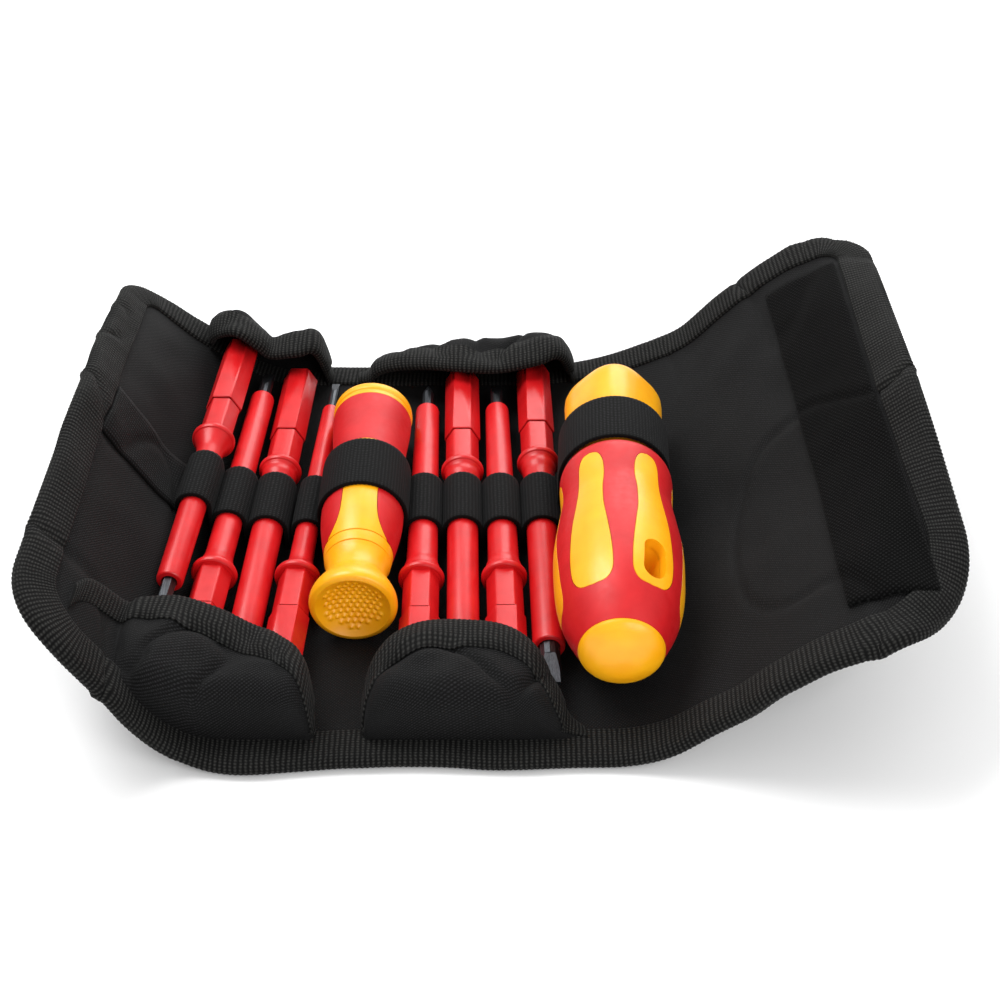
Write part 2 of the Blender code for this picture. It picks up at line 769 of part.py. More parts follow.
def rounded_panel(length, half_depth, radius, start):
    """Outline of a panel in its own plane: x runs away from the hinge, and the two far corners are round."""
    outline = [(start, -half_depth)]
    for centre_y, begin in ((-half_depth + radius, -90), (half_depth - radius, 0)):
        for step in range(7):
            turn = math.radians(begin + 15 * step)
            outline.append((length - radius + radius * math.cos(turn), centre_y + radius * math.sin(turn)))
    return outline + [(start, half_depth)]


def panel(prefix, start, spine, panel_size, side):
    """A cover panel on its hinge, its binding, and an empty that holds them at the rest angle."""
    x, z = hinge_point(start, spine, side)
    hold = bpy.data.objects.new(prefix + "_hinge", None)
    PARTS.objects.link(hold)
    hold.location = Vector((x, 0, z)) * MM
    slope = math.radians(panel_size[1])
    hold.rotation_euler = Euler((0, -slope, 0)) if side > 0 else Euler((0, slope - math.pi, 0))
    length, half = panel_size[0], POUCH_DEPTH / 2
    inner_length, inner_half = length - BINDING_WIDTH - GAP, half - BINDING_WIDTH - GAP
    inner_radius = PANEL_CORNER - BINDING_WIDTH - GAP
    extruded(
        prefix,
        rounded_panel(inner_length, inner_half, inner_radius, FOLD_GAP),
        -FABRIC / 2,
        FABRIC / 2,
        PARTS,
        hold,
        BLACK_FABRIC,
    )
    outer = rounded_panel(length, half, PANEL_CORNER, PANEL_BINDING_SETBACK)
    hollow_size = (length - BINDING_WIDTH, half - BINDING_WIDTH, PANEL_CORNER - BINDING_WIDTH)
    hollow = rounded_panel(*hollow_size, PANEL_BINDING_SETBACK)
    extruded(
        prefix + "_binding",
        outer + list(reversed(hollow)),
        -BINDING_THICKNESS / 2,
        BINDING_THICKNESS / 2,
        PARTS,
        hold,
        BLACK_TAPE,
    )
    return hold


# name: side of the pouch, then the nearest blade, x from it, depth from the root to the mouth, and how far the mouth
# stands over that blade's hex shank (None: just off the floor)
FLAPS = {
    "front_left_flap": (
        -1,
        (
            ("blade_2", -13.6, 22, None),
            ("blade_1", -2.4, 33, -1.1),
            ("blade_1", 2.9, 39, -2.0),
            ("blade_2", 4.1, 39, 1.8),
            ("blade_4", -9.8, 35, 2.0),
            ("blade_4", -2.3, 30, 1.8),
            ("blade_4", 4.2, 22, 1.2),
            ("blade_4", 7.2, 12, None),
        ),
    ),
    "front_centre_flap": (
        -1,
        (
            ("blade_5", -11.1, 16, None),
            ("blade_5", -6.6, 30, 1.2),
            ("blade_5", 0.9, 37, 1.8),
            ("blade_7", -10.3, 39, 1.8),
            ("blade_7", 0.7, 37, 1.8),
            ("blade_7", 6.2, 30, 1.4),
            ("blade_7", 9.6, 17, -3.8),
            ("blade_7", 13.2, 9, None),
        ),
    ),
    "back_left_flap": (
        1,
        (
            ("blade_1", -4.6, 11, None),
            ("blade_1", -2.6, 16, 2.1),
            ("blade_1", 2.9, 19, 2.7),
            ("blade_3", -9.0, 18, 5.6),
            ("blade_3", 0.0, 18, 2.0),
            ("blade_3", 6.8, 14, 1.6),
            ("blade_3", 10.0, 6, None),
        ),
    ),
    "back_centre_flap": (
        1,
        (
            ("blade_6", -20.2, 9, None),
            ("blade_6", -14.2, 18, -1.0),
            ("blade_6", -1.2, 23, 1.8),
            ("blade_8", -12.2, 22, 1.4),
            ("blade_8", -0.2, 20, 2.0),
            ("blade_8", 6.8, 16, -0.4),
            ("blade_8", 12.3, 9, None),
        ),
    ),
}
FLAP_RISE = (0.0, 0.08, 0.2, 1.0)  # shares of the depth
FLAP_HEIGHT = (0.0, 0.6, 1.0, 1.0)  # shares of the rise at those places


def flap_point(edge, blade_name, offset, depth, cover, share, height):
    """A point on the flap's inner face, relative to its hinge line."""
    x = PLACES[blade_name][0] + offset
    base = floor_top(x) + BINDING_RISE + 2 * GAP
    top = base if cover is None else PLACES[blade_name][1] + hex_radius(HEX_FLATS) + cover
    return Vector((x, -edge * depth * share, base + (top - base) * height - FLAP_HINGE_Z)) * MM


def end_flap(name):
    """A hood of cloth sewn to the pouch's end edge, over the ends of the blades, with a bound mouth."""
    edge, stations = FLAPS[name]
    hold = bpy.data.objects.new(name + "_hinge", None)
    PARTS.objects.link(hold)
    hold.location = Vector((0, edge * FLAP_ROOT, FLAP_HINGE_Z)) * MM
    bm = bmesh.new()
    bmesh.ops.create_grid(bm, x_segments=len(stations) - 1, y_segments=len(FLAP_RISE) - 1, size=1)
    for vert in bm.verts:
        column = round((vert.co.x + 1) / 2 * (len(stations) - 1))
        row = round((vert.co.y + 1) / 2 * (len(FLAP_RISE) - 1))
        vert.co = flap_point(edge, *stations[column], FLAP_RISE[row], FLAP_HEIGHT[row])
    bmesh.ops.recalc_face_normals(bm, faces=bm.faces)
    if sum(f.normal.z for f in bm.faces) < 0:
        bmesh.ops.reverse_faces(bm, faces=bm.faces)
    cloth = put(name, mesh_of(bm, name), PARTS, hold, BLACK_FABRIC)
    shell = cloth.modifiers.new("Thickness", "SOLIDIFY")
    shell.thickness, shell.offset = FLAP_THICKNESS * MM, 1.0

    bead = bpy.data.curves.new(name + "_binding", "CURVE")
    bead.dimensions = "3D"
    bead.bevel_depth = FLAP_BEAD * MM
    bead.bevel_resolution = 2
    bead.use_fill_caps = True
    spline = bead.splines.new("POLY")
    spline.points.add(len(stations) - 1)
    mouth = [flap_point(edge, *station, 1.0, 1.0) for station in stations]
    for index, place in enumerate(mouth):
        before, after = mouth[max(index - 1, 0)], mouth[min(index + 1, len(mouth) - 1)]
        away = Vector((edge * (after.y - before.y), -edge * (after.x - before.x), 0)).normalized()
        place = place / MM + away * (FLAP_BEAD + 6 * GAP)
        foot = floor_top(place.x) + 2 * FLAP_BEAD + GAP - FLAP_HINGE_Z
        place.z = max(place.z + FLAP_THICKNESS / 2, foot)
        spline.points[index].co = (*(place * MM), 1)
    obj = bpy.data.objects.new(name + "_binding", bead)
    PARTS.objects.link(obj)
    obj.parent = hold
    bead.materials.append(BLACK_TAPE)


def tool_line(name):
    """A tool where the webbing crosses it: x, z, splay, radius under the webbing, and the webbing's y."""
    if name == "big_handle":
        return BIG_X, BIG_Z, BIG_SPLAY, COLLAR_RADIUS + COLLAR_LOBE, (BIG_OUTLINE[-1][0] + BIG_NECK_END) / 2
    if name == "small_handle":
        return SMALL_X, SMALL_Z, 0.0, widest(SMALL_OUTLINE), WEBBING_Y
    splay, _, r_root, r_tip, length = BLADES[name][3:8]
    near = max(abs(flange_place(name) - WEBBING_Y) - WEBBING_WIDTH / 2, 0)
    return *PLACES[name], splay, r_root + (r_tip - r_root) * near / length, WEBBING_Y


def arch(radius, depth_left, depth_right, sides):
    """Line of a loop about a tool's axis: up, over the tool and down. Depths are below the axis."""
    over = [math.pi * step / sides for step in range(sides + 1)]
    top = [(-radius * math.cos(turn), -radius * math.sin(turn)) for turn in over]
    return [(-radius, depth_left)] + top + [(radius, depth_right)]


def side_wall(name, here, there, frame):
    """A block that takes away what lies past the middle of the gap between two neighbouring tools."""
    reach, half = 30.0, WEBBING_WIDTH / 2
    ends = []
    for y in (WEBBING_Y - half, WEBBING_Y + half):
        x_here = here[0] + math.tan(math.radians(here[2])) * (y - here[4])
        x_there = there[0] + math.tan(math.radians(there[2])) * (y - there[4])
        ends.append(math.hypot(x_there - x_here, there[1] - here[1]))
    middle = here[3] + (min(ends) - here[3] - there[3]) / 2 - GAP / 2
    wall = box(name, (middle, -reach, -reach), (middle + reach, reach, reach), HELPERS, frame)
    wall.rotation_euler.z = math.atan2(here[1] - there[1], there[0] - here[0])
    return wall


def webbing():
    """The elastic webbing: one loop over each tool, trimmed where it meets the next one."""
    lines = {name: tool_line(name) for name in ROW}
    for index, name in enumerate(ROW):
        x, z, splay, radius, y = lines[name]
        frame = frame_at(name + "_band", (x, y, z), splay)
        inner_radius = radius + LOOP_SLACK
        outer_radius = inner_radius + WEBBING_THICKNESS
        sides = 8 if radius < 8 else 12
        feet = [z - floor_top(x + side * outer_radius) - GAP for side in (-1, 1)]
        outline = arch(outer_radius, *feet, sides) + list(reversed(arch(inner_radius, *feet, sides)))
        half = WEBBING_WIDTH / 2 if name != "big_handle" else (BIG_NECK_END - BIG_OUTLINE[-1][0]) / 2 - 1.0
        band = extruded(name + "_loop", outline, -half, half, PARTS, frame, BLACK_TAPE)
        for near, step in (("left", -1), ("right", 1)):
            if 0 <= index + step < len(ROW):
                other = lines[ROW[index + step]]
                wall = side_wall(f"{name}_{near}_wall", lines[name], other, frame)
                boolean(band, wall, "DIFFERENCE")


def pouch():
    half = POUCH_DEPTH / 2
    inner_half = half - BINDING_WIDTH - GAP
    floor = draped_strip("pouch_floor", FOLD_GAP, -inner_half, inner_half, FABRIC, BLACK_FABRIC)
    low, high = HOOK_STRIP_X - STRIP_WIDTH / 2, HOOK_STRIP_X + STRIP_WIDTH / 2
    pocket = box(
        "strip_pocket",
        (low - GAP, -HOOK_STRIP_HALF - GAP, -1),
        (high + GAP, HOOK_STRIP_HALF + GAP, STRIP_THICKNESS + GAP),
        HELPERS,
        None,
    )
    boolean(floor, pocket, "DIFFERENCE")
    hook = box(
        "hook_strip",
        (low, -HOOK_STRIP_HALF, 0),
        (high, HOOK_STRIP_HALF, STRIP_THICKNESS),
        PARTS,
        None,
    )
    hook.data.materials.append(BLACK_TAPE)
    for name, side in (("front_edge_binding", -1), ("back_edge_binding", 1)):
        low, high = sorted((side * (half - BINDING_WIDTH), side * half))
        draped_strip(name, PANEL_BINDING_SETBACK, low, high, BINDING_THICKNESS, BLACK_TAPE)
    left = panel("left_panel", FLOOR_LEFT, LEFT_SPINE, LEFT_PANEL, -1)
    right = panel("right_panel", FLOOR_RIGHT, RIGHT_SPINE, RIGHT_PANEL, 1)
    far = RIGHT_PANEL[0] - BINDING_WIDTH - 2.0
    loop_strip = box(
        "loop_strip",
        (far - STRIP_WIDTH, -half + LOOP_STRIP_INSET, FABRIC / 2 + GAP),
        (far, half - LOOP_STRIP_INSET, FABRIC / 2 + GAP + STRIP_THICKNESS),
        PARTS,
        right,
    )
    loop_strip.data.materials.append(BLACK_TAPE)
    tail = box(
        "webbing_tail",
        (PANEL_BINDING_SETBACK, WEBBING_Y + 2 - WEBBING_WIDTH / 2, -FABRIC / 2 - GAP - WEBBING_THICKNESS),
        (LEFT_PANEL[0] - BINDING_WIDTH - 1.0, WEBBING_Y + 2 + WEBBING_WIDTH / 2, -FABRIC / 2 - GAP),
        PARTS,
        left,
    )
    tail.data.materials.append(BLACK_TAPE)
    for name in FLAPS:
        end_flap(name)


clear_scene()
PARTS = collection("insulated_screwdriver_kit")
HELPERS = collection("helpers")
HELPERS.hide_render = True
RED = material("red_insulation", (0.75, 0.02, 0.02), 0.4)
YELLOW = material("yellow_handle", (0.95, 0.48, 0.02), 0.35)
STEEL = material("black_steel", (0.06, 0.06, 0.065), 0.4, 1.0)
BLACK_FABRIC = material("black_nylon", (0.012, 0.012, 0.013), 0.85)
BLACK_TAPE = material("black_tape", (0.01, 0.01, 0.01), 0.9)

pouch()
webbing()
for blade_name in BLADES:
    blade(blade_name)
big_handle()
small_handle()
for made in PARTS.objects:
    smooth(made)
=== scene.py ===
# %% [markdown]
# # An electrician's take-apart screwdriver kit, open in its pouch
#
# Two handles and eight insulated blades lie side by side in a padded fold-up pouch. Elastic loops hold them,
# and cloth hoods at the pouch's two ends keep the blades from sliding out. The imported model is the fixed
# frame: it says where every body is, and the tools, the loops and the fastener strips ride on one of them.
# Sizes are in millimetres until a mesh is made.

# %% Load the frame
import math

import bmesh
import bpy
from mathutils import Euler, Matrix, Vector, noise


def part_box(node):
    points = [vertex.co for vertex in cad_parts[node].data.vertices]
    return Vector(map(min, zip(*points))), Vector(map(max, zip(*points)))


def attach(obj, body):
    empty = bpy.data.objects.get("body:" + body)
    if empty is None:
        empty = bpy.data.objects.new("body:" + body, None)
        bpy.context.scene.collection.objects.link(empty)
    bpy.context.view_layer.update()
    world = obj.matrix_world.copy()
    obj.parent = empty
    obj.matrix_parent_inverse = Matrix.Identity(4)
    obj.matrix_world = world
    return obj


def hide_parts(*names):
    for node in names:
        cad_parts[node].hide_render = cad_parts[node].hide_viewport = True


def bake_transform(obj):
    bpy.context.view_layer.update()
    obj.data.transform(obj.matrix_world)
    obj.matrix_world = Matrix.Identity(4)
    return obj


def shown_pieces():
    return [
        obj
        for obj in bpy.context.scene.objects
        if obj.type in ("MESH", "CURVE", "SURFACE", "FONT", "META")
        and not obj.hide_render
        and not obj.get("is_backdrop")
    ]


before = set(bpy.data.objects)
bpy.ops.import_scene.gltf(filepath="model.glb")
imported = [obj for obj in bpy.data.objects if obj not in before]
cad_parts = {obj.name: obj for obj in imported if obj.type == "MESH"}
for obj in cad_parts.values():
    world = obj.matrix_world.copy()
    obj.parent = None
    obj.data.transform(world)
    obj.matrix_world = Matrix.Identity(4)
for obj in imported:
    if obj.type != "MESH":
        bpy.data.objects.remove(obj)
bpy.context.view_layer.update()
MM = 0.001

# %% [markdown]
# ## Camera, floor and light
#
# A small kit is shown well by a slightly long lens, about half a metre away and looking down at about 38
# degrees. The floor is a pale sweep. The light comes from a bright surround and three large soft panels, so
# that black cloth still shows its weave and glossy plastic gets broad, soft highlights.

# %% Camera
CAMERA_AT = Vector((0.016, -0.3512, 0.2957))
CAMERA_AIM = Vector((0.016, 0.0205, 0.0))

lens = bpy.data.cameras.new("camera")
lens.lens, lens.sensor_width = 57.06, 36.0
lens.clip_start, lens.clip_end = 0.01, 20.0
camera = bpy.data.objects.new("camera", lens)
camera.location = CAMERA_AT
camera.rotation_euler = (CAMERA_AIM - CAMERA_AT).to_track_quat("-Z", "Y").to_euler()
bpy.context.scene.collection.objects.link(camera)
bpy.context.scene.camera = camera


# %% A function for colours and one for nodes
def linear(hex_colour):
    """An sRGB hex colour as Blender's linear RGBA."""
    channels = [int(hex_colour[i : i + 2], 16) / 255 for i in (1, 3, 5)]
    return tuple(c / 12.92 if c <= 0.04045 else ((c + 0.055) / 1.055) ** 2.4 for c in channels) + (1.0,)


def add(tree, kind, inputs=(), **settings):
    """Adds a node. inputs maps its socket names to values or to other nodes' output sockets."""
    made = tree.nodes.new(kind)
    for name, value in settings.items():
        setattr(made, name, value)
    for name, value in dict(inputs).items():
        if isinstance(value, bpy.types.NodeSocket):
            tree.links.new(value, made.inputs[name])
        else:
            made.inputs[name].default_value = value
    return made


def finish_named(name, shader_values):
    """A new material: its node tree and its shader, with the values that are the same all over the surface."""
    made = bpy.data.materials.new(name)
    made.use_nodes = True
    tree = made.node_tree
    shader = tree.nodes["Principled BSDF"]
    for socket, value in shader_values.items():
        shader.inputs[socket].default_value = value
    return made, tree, shader


# %% Floor, surround and lamps
FLOOR_REACH = 4.0  # metres
FLOOR_DROP = 0.05 * MM

floor_mesh = bpy.data.meshes.new("floor")
bm = bmesh.new()
bmesh.ops.create_grid(bm, x_segments=1, y_segments=1, size=FLOOR_REACH)
bmesh.ops.translate(bm, vec=(0, 0, -FLOOR_DROP), verts=bm.verts)
bm.to_mesh(floor_mesh)
bm.free()
floor = bpy.data.objects.new("floor", floor_mesh)
bpy.context.scene.collection.objects.link(floor)
painted, tree, shader = finish_named("pale_paper_sweep", {"Roughness": 0.9, "Base Color": linear("#F6F6F6")})
floor_mesh.materials.append(painted)
floor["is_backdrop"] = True

world = bpy.data.worlds.new("soft_surround")
world.use_nodes = True
world.node_tree.nodes["Background"].inputs["Color"].default_value = linear("#FFFFFF")
world.node_tree.nodes["Background"].inputs["Strength"].default_value = 0.62
bpy.context.scene.world = world
bpy.context.scene.view_settings.view_transform = "Standard"

LAMPS = {
    "key_panel": ((-0.35, 0.25, 0.75), 0.5, 6.0),
    "front_panel": ((0.45, -0.65, 0.6), 0.6, 4.5),
    "back_panel": ((0.2, 0.8, 0.5), 0.6, 4.0),
}
for name, (place, size, power) in LAMPS.items():
    lamp = bpy.data.lights.new(name, "AREA")
    lamp.size, lamp.energy = size, power
    held = bpy.data.objects.new(name, lamp)
    held.location = place
    held.rotation_euler = (-Vector(place)).to_track_quat("-Z", "Y").to_euler()
    bpy.context.scene.collection.objects.link(held)
print("lamps:", ", ".join(LAMPS))

# %% [markdown]
# ## Finishes
#
# Every pattern's scale comes from a real size in millimetres. A noise texture shows one feature per unit
# divided by its scale, and a wave texture repeats every tenth of two pi divided by its scale, so two small
# functions turn a pitch in millimetres into either scale. Object coordinates and UV maps are both in metres
# here.


# %% Pattern scales
def noise_scale(size_mm):
    """The scale of a noise texture whose features are this large."""
    return 1 / (size_mm * MM)


def wave_scale(pitch_mm):
    """The scale of a wave texture that repeats at this pitch."""
    return math.pi / 10 / (pitch_mm * MM)


def ramp(tree, value, low, high, low_at=0.0, high_at=1.0):
    """Turns a 0 to 1 value into a colour between two hex colours."""
    made = add(tree, "ShaderNodeValToRGB", {"Fac": value})
    made.color_ramp.elements[0].color, made.color_ramp.elements[1].color = linear(low), linear(high)
    made.color_ramp.elements[0].position, made.color_ramp.elements[1].position = low_at, high_at
    return made.outputs["Color"]


CLOUD_MM, WEAR_MM, STREAK_MM = 7.0, 1.6, 0.25  # size of a patch of colour, of polish, of a grinding streak


def moulded(name, dark, light, rough_low, rough_high, grain_mm, grain_height, constants):
    """A moulded plastic: a slight cloudiness in its colour, patchy polish, and a fine grain from the mould."""
    made, tree, shader = finish_named(name, constants)
    place = add(tree, "ShaderNodeTexCoord").outputs["Object"]
    cloud = add(tree, "ShaderNodeTexNoise", {"Vector": place, "Scale": noise_scale(CLOUD_MM), "Detail": 3.0})
    tree.links.new(ramp(tree, cloud.outputs["Fac"], dark, light, 0.3, 0.7), shader.inputs["Base Color"])
    wear = add(tree, "ShaderNodeTexNoise", {"Vector": place, "Scale": noise_scale(WEAR_MM), "Detail": 5.0})
    polish = add(
        tree,
        "ShaderNodeMapRange",
        {"Value": wear.outputs["Fac"], "From Min": 0.3, "From Max": 0.7, "To Min": rough_low, "To Max": rough_high},
    )
    tree.links.new(polish.outputs["Result"], shader.inputs["Roughness"])
    grain = add(tree, "ShaderNodeTexNoise", {"Vector": place, "Scale": noise_scale(grain_mm), "Detail": 2.0})
    bump = add(
        tree,
        "ShaderNodeBump",
        {"Height": grain.outputs["Fac"], "Distance": grain_height * MM, "Strength": 1.0},
    )
    tree.links.new(bump.outputs["Normal"], shader.inputs["Normal"])
    return made


# %% Plastics and steel
# Glass-filled nylon over the blades: a hard red skin that shines broadly and shows faint flow clouds.
RED_INSULATION = moulded(
    "moulded_red_nylon", "#BE0F14", "#CE171B", 0.30, 0.40, 0.35, 0.006, constants={"Specular IOR Level": 0.45}
)
# Soft rubber-like elastomer on the handles: satin, with a fine eroded grain.
RED_GRIP = moulded(
    "satin_red_elastomer", "#BE1016", "#CC181D", 0.42, 0.55, 0.30, 0.012, constants={"Specular IOR Level": 0.4}
)
# Polypropylene core and caps: semi-gloss, and a little light travels inside it.
YELLOW_CORE = moulded(
    "moulded_yellow_polypropylene",
    "#FBA806",
    "#FFB414",
    0.30,
    0.40,
    0.5,
    0.005,
    constants={"Subsurface Weight": 0.08, "Subsurface Radius": (0.004, 0.002, 0.0005), "Subsurface Scale": 1.0},
)


def black_oxide_steel():
    """Hardened tool steel, ground lengthways and blackened: dark, satin, with fine streaks."""
    made, tree, shader = finish_named("black_oxide_steel", {"Metallic": 1.0})
    place = add(tree, "ShaderNodeTexCoord").outputs["Object"]
    along = add(tree, "ShaderNodeMapping", {"Vector": place, "Scale": (1.0, 0.06, 1.0)})
    streak = add(
        tree,
        "ShaderNodeTexNoise",
        {"Vector": along.outputs["Vector"], "Scale": noise_scale(STREAK_MM), "Detail": 4.0},
    )
    colour = ramp(tree, streak.outputs["Fac"], "#3A3C3F", "#5A5C60", 0.3, 0.7)
    tree.links.new(colour, shader.inputs["Base Color"])
    polish = add(
        tree, "ShaderNodeMapRange", {"Value": streak.outputs["Fac"], "To Min": 0.28, "To Max": 0.5}
    )
    tree.links.new(polish.outputs["Result"], shader.inputs["Roughness"])
    bump = add(tree, "ShaderNodeBump", {"Height": streak.outputs["Fac"], "Distance": 0.01 * MM})
    tree.links.new(bump.outputs["Normal"], shader.inputs["Normal"])
    return made


STEEL = black_oxide_steel()
print("plastics and steel:", RED_INSULATION.name, RED_GRIP.name, YELLOW_CORE.name, STEEL.name)

# %% [markdown]
# ## Cloth finishes
#
# The pouch has three kinds of black textile. The body is woven polyester, whose threads cross on a fine
# diagonal. The edges are bound in ribbed tape, with ribs that run across it. The loops are knitted elastic,
# with rows of small stitches. All three follow their piece's own UV map, in which u runs along the piece and
# v across it, in metres, so that the pattern bends with the cloth.


# %% One recipe for the three textiles
def textile(name, dark, light, along_mm, across_mm, turn, height_mm, mix, rough=0.78, fuzz_mm=0.6, shine=0.12):
    """Two crossed sets of threads and a fuzz of stray fibres. mix is how much the second set shows."""
    values = {"Roughness": rough, "Sheen Weight": 0.02, "Sheen Roughness": 0.5, "Specular IOR Level": shine}
    made, tree, shader = finish_named(name, values)
    flat = add(tree, "ShaderNodeUVMap", uv_map="cloth").outputs["UV"]
    turned_flat = add(
        tree, "ShaderNodeMapping", {"Vector": flat, "Rotation": (0, 0, math.radians(turn))}
    ).outputs["Vector"]
    warp = add(
        tree,
        "ShaderNodeTexWave",
        {"Vector": turned_flat, "Scale": wave_scale(along_mm), "Distortion": 1.2, "Detail Scale": 2.0},
        bands_direction="X",
    ).outputs["Fac"]
    weft = add(
        tree,
        "ShaderNodeTexWave",
        {"Vector": turned_flat, "Scale": wave_scale(across_mm), "Distortion": 1.2, "Detail Scale": 2.0},
        bands_direction="Y",
    ).outputs["Fac"]
    crossed = add(tree, "ShaderNodeMath", operation="MULTIPLY")
    tree.links.new(warp, crossed.inputs[0])
    tree.links.new(weft, crossed.inputs[1])
    threads = add(tree, "ShaderNodeMix", {"Factor": mix})
    tree.links.new(warp, threads.inputs["A"])
    tree.links.new(crossed.outputs[0], threads.inputs["B"])
    fuzz = add(tree, "ShaderNodeTexNoise", {"Vector": flat, "Scale": noise_scale(fuzz_mm), "Detail": 3.0})
    patchy = add(tree, "ShaderNodeMath", operation="MULTIPLY")
    tree.links.new(threads.outputs["Result"], patchy.inputs[0])
    tree.links.new(fuzz.outputs["Fac"], patchy.inputs[1])
    tree.links.new(ramp(tree, patchy.outputs[0], dark, light, 0.05, 0.6), shader.inputs["Base Color"])
    bump = add(
        tree,
        "ShaderNodeBump",
        {"Height": patchy.outputs[0], "Distance": height_mm * MM, "Strength": 1.0},
    )
    tree.links.new(bump.outputs["Normal"], shader.inputs["Normal"])
    return made


# Woven polyester with a fine twill line. The real threads are 0.3 mm apart, and they are drawn at about twice that.
WOVEN = textile("woven_black_polyester", "#040404", "#262627", 0.62, 0.75, 38, 0.10, 0.75)
# Ribbed binding tape, with a rib every 1.3 mm across it, each rib broken into small loops.
TAPE = textile("ribbed_black_binding_tape", "#020202", "#353533", 1.3, 0.8, 0, 0.30, 0.7)
# Knitted elastic, with rows of stitches every millimetre.
ELASTIC = textile("knitted_black_elastic", "#030303", "#242425", 1.0, 0.8, 0, 0.22, 0.95, fuzz_mm=0.9)
# The looped side of a touch fastener: dense short fibres that swallow light, with bright specks.
FASTENER = textile(
    "looped_black_fastener_tape", "#050505", "#1C1C1C", 0.9, 0.9, 30, 0.30, 0.9,
    rough=0.95, fuzz_mm=0.45, shine=0.04,
)
print("textiles:", WOVEN.name, TAPE.name, ELASTIC.name, FASTENER.name)

# %% [markdown]
# ## Tools for shapes
#
# Most hard pieces are turned: a half outline spun about its own axis. Each tool is drawn in its own frame,
# where Z is the tool's axis, and is then laid along the pouch by one matrix. The piece's mesh takes that
# matrix, and its object stays at the origin.


# %% Turned shapes and placing
def curve_through(points, steps):
    """A smooth line through the points, with this many steps between each two."""
    points = [Vector(p) for p in points]
    line = []
    for i, (a, b) in enumerate(zip(points, points[1:])):
        before = points[i - 1] if i else a * 2 - b
        after = points[i + 2] if i + 2 < len(points) else b * 2 - a
        for k in range(steps):
            t = k / steps
            cubic = (a * 3 - before - b * 3 + after) * t**3
            line.append((a * 2 + (b - before) * t + (before * 2 - a * 5 + b * 4 - after) * t * t + cubic) / 2)
    return line + [points[-1]]


def turned(profile, steps=72, ring=False):
    """A body of revolution about Z from (z, radius) points in millimetres."""
    bm = bmesh.new()
    points = [bm.verts.new((r * MM, 0, z * MM)) for z, r in profile]
    edges = [bm.edges.new(pair) for pair in zip(points, points[1:])]
    if ring:
        edges.append(bm.edges.new((points[-1], points[0])))
    bmesh.ops.spin(
        bm, geom=points + edges, axis=(0, 0, 1), cent=(0, 0, 0), steps=steps, angle=2 * math.pi, use_merge=True
    )
    bmesh.ops.remove_doubles(bm, verts=bm.verts, dist=0.001 * MM)
    bmesh.ops.recalc_face_normals(bm, faces=bm.faces)
    return bm


def prism(outline, low, high, axis_turn=0.0):
    """A flat (across, along) outline in the XZ plane, extruded along Y from low to high and turned about Z."""
    bm = bmesh.new()
    face = bm.faces.new([bm.verts.new((x * MM, low * MM, z * MM)) for x, z in outline])
    grown = bmesh.ops.extrude_face_region(bm, geom=[face])["geom"]
    top = [v for v in grown if isinstance(v, bmesh.types.BMVert)]
    bmesh.ops.translate(bm, vec=(0, (high - low) * MM, 0), verts=top)
    bmesh.ops.rotate(bm, matrix=Matrix.Rotation(math.radians(axis_turn), 3, "Z"), verts=bm.verts)
    bmesh.ops.recalc_face_normals(bm, faces=bm.faces)
    return bm


def merged(*solids):
    """Several separate bmeshes as one."""
    whole = bmesh.new()
    for bm in solids:
        mesh = bpy.data.meshes.new("part")
        bm.to_mesh(mesh)
        bm.free()
        whole.from_mesh(mesh)
        bpy.data.meshes.remove(mesh)
    return whole


def carved(solid, tool, operation):
    """The solid after an exact Boolean with the tool. Both are used up."""
    objects = []
    for bm in (solid, tool):
        mesh = bpy.data.meshes.new("carving")
        bm.to_mesh(mesh)
        bm.free()
        objects.append(bpy.data.objects.new("carving", mesh))
        bpy.context.scene.collection.objects.link(objects[-1])
    cut = objects[0].modifiers.new("cut", "BOOLEAN")
    cut.operation, cut.object, cut.solver = operation, objects[1], "EXACT"
    bpy.context.view_layer.update()
    done = objects[0].evaluated_get(bpy.context.evaluated_depsgraph_get())
    result = bmesh.new()
    result.from_mesh(done.to_mesh())
    done.to_mesh_clear()
    for obj in objects:
        mesh = obj.data
        bpy.data.objects.remove(obj)
        bpy.data.meshes.remove(mesh)
    return result


def tool_frame(x, y, z, splay=0.0, turn=0.0):
    """The matrix that lays a tool's Z axis along world Y, leaning towards +X by splay."""
    lean = Euler((math.radians(-90), 0, math.radians(turn - splay))).to_matrix().to_4x4()
    return Matrix.Translation(Vector((x, y, z)) * MM) @ lean


def piece(name, bm, finish, body=None, place=None, stands_for=(), round_mm=0.0, sharp=32):
    """Makes a bmesh a piece: in place, shaded, finished, its hard edges rounded, and riding on its body."""
    if place:
        bmesh.ops.transform(bm, matrix=place, verts=bm.verts)
    mesh = bpy.data.meshes.new(name)
    bm.to_mesh(mesh)
    bm.free()
    mesh.materials.append(finish)
    obj = bpy.data.objects.new(name, mesh)
    bpy.context.scene.collection.objects.link(obj)
    mesh.shade_smooth()
    mesh.set_sharp_from_angle(angle=math.radians(sharp))
    if round_mm:
        rounding = obj.modifiers.new("rounded edges", "BEVEL")
        rounding.width, rounding.segments = round_mm * MM, 3
        rounding.limit_method, rounding.angle_limit = "ANGLE", math.radians(sharp)
        rounding.harden_normals = True
    if stands_for:
        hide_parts(*stands_for)
    if body:
        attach(obj, body)
    return obj


# %% [markdown]
# ## Blades
#
# A blade is a steel rod with red nylon moulded over it: a hexagonal shank that plugs into a handle, a flange
# that keeps fingers off the bare tip, and a shaft that tapers. The shaft and flange are turned, and the shank
# is a hexagon extruded in steps with its edges bevelled, because a real shank has flats and a turned one
# can't. The shank starts inside the flange, so the two closed shells read as one moulding. The steel rods
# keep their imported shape.

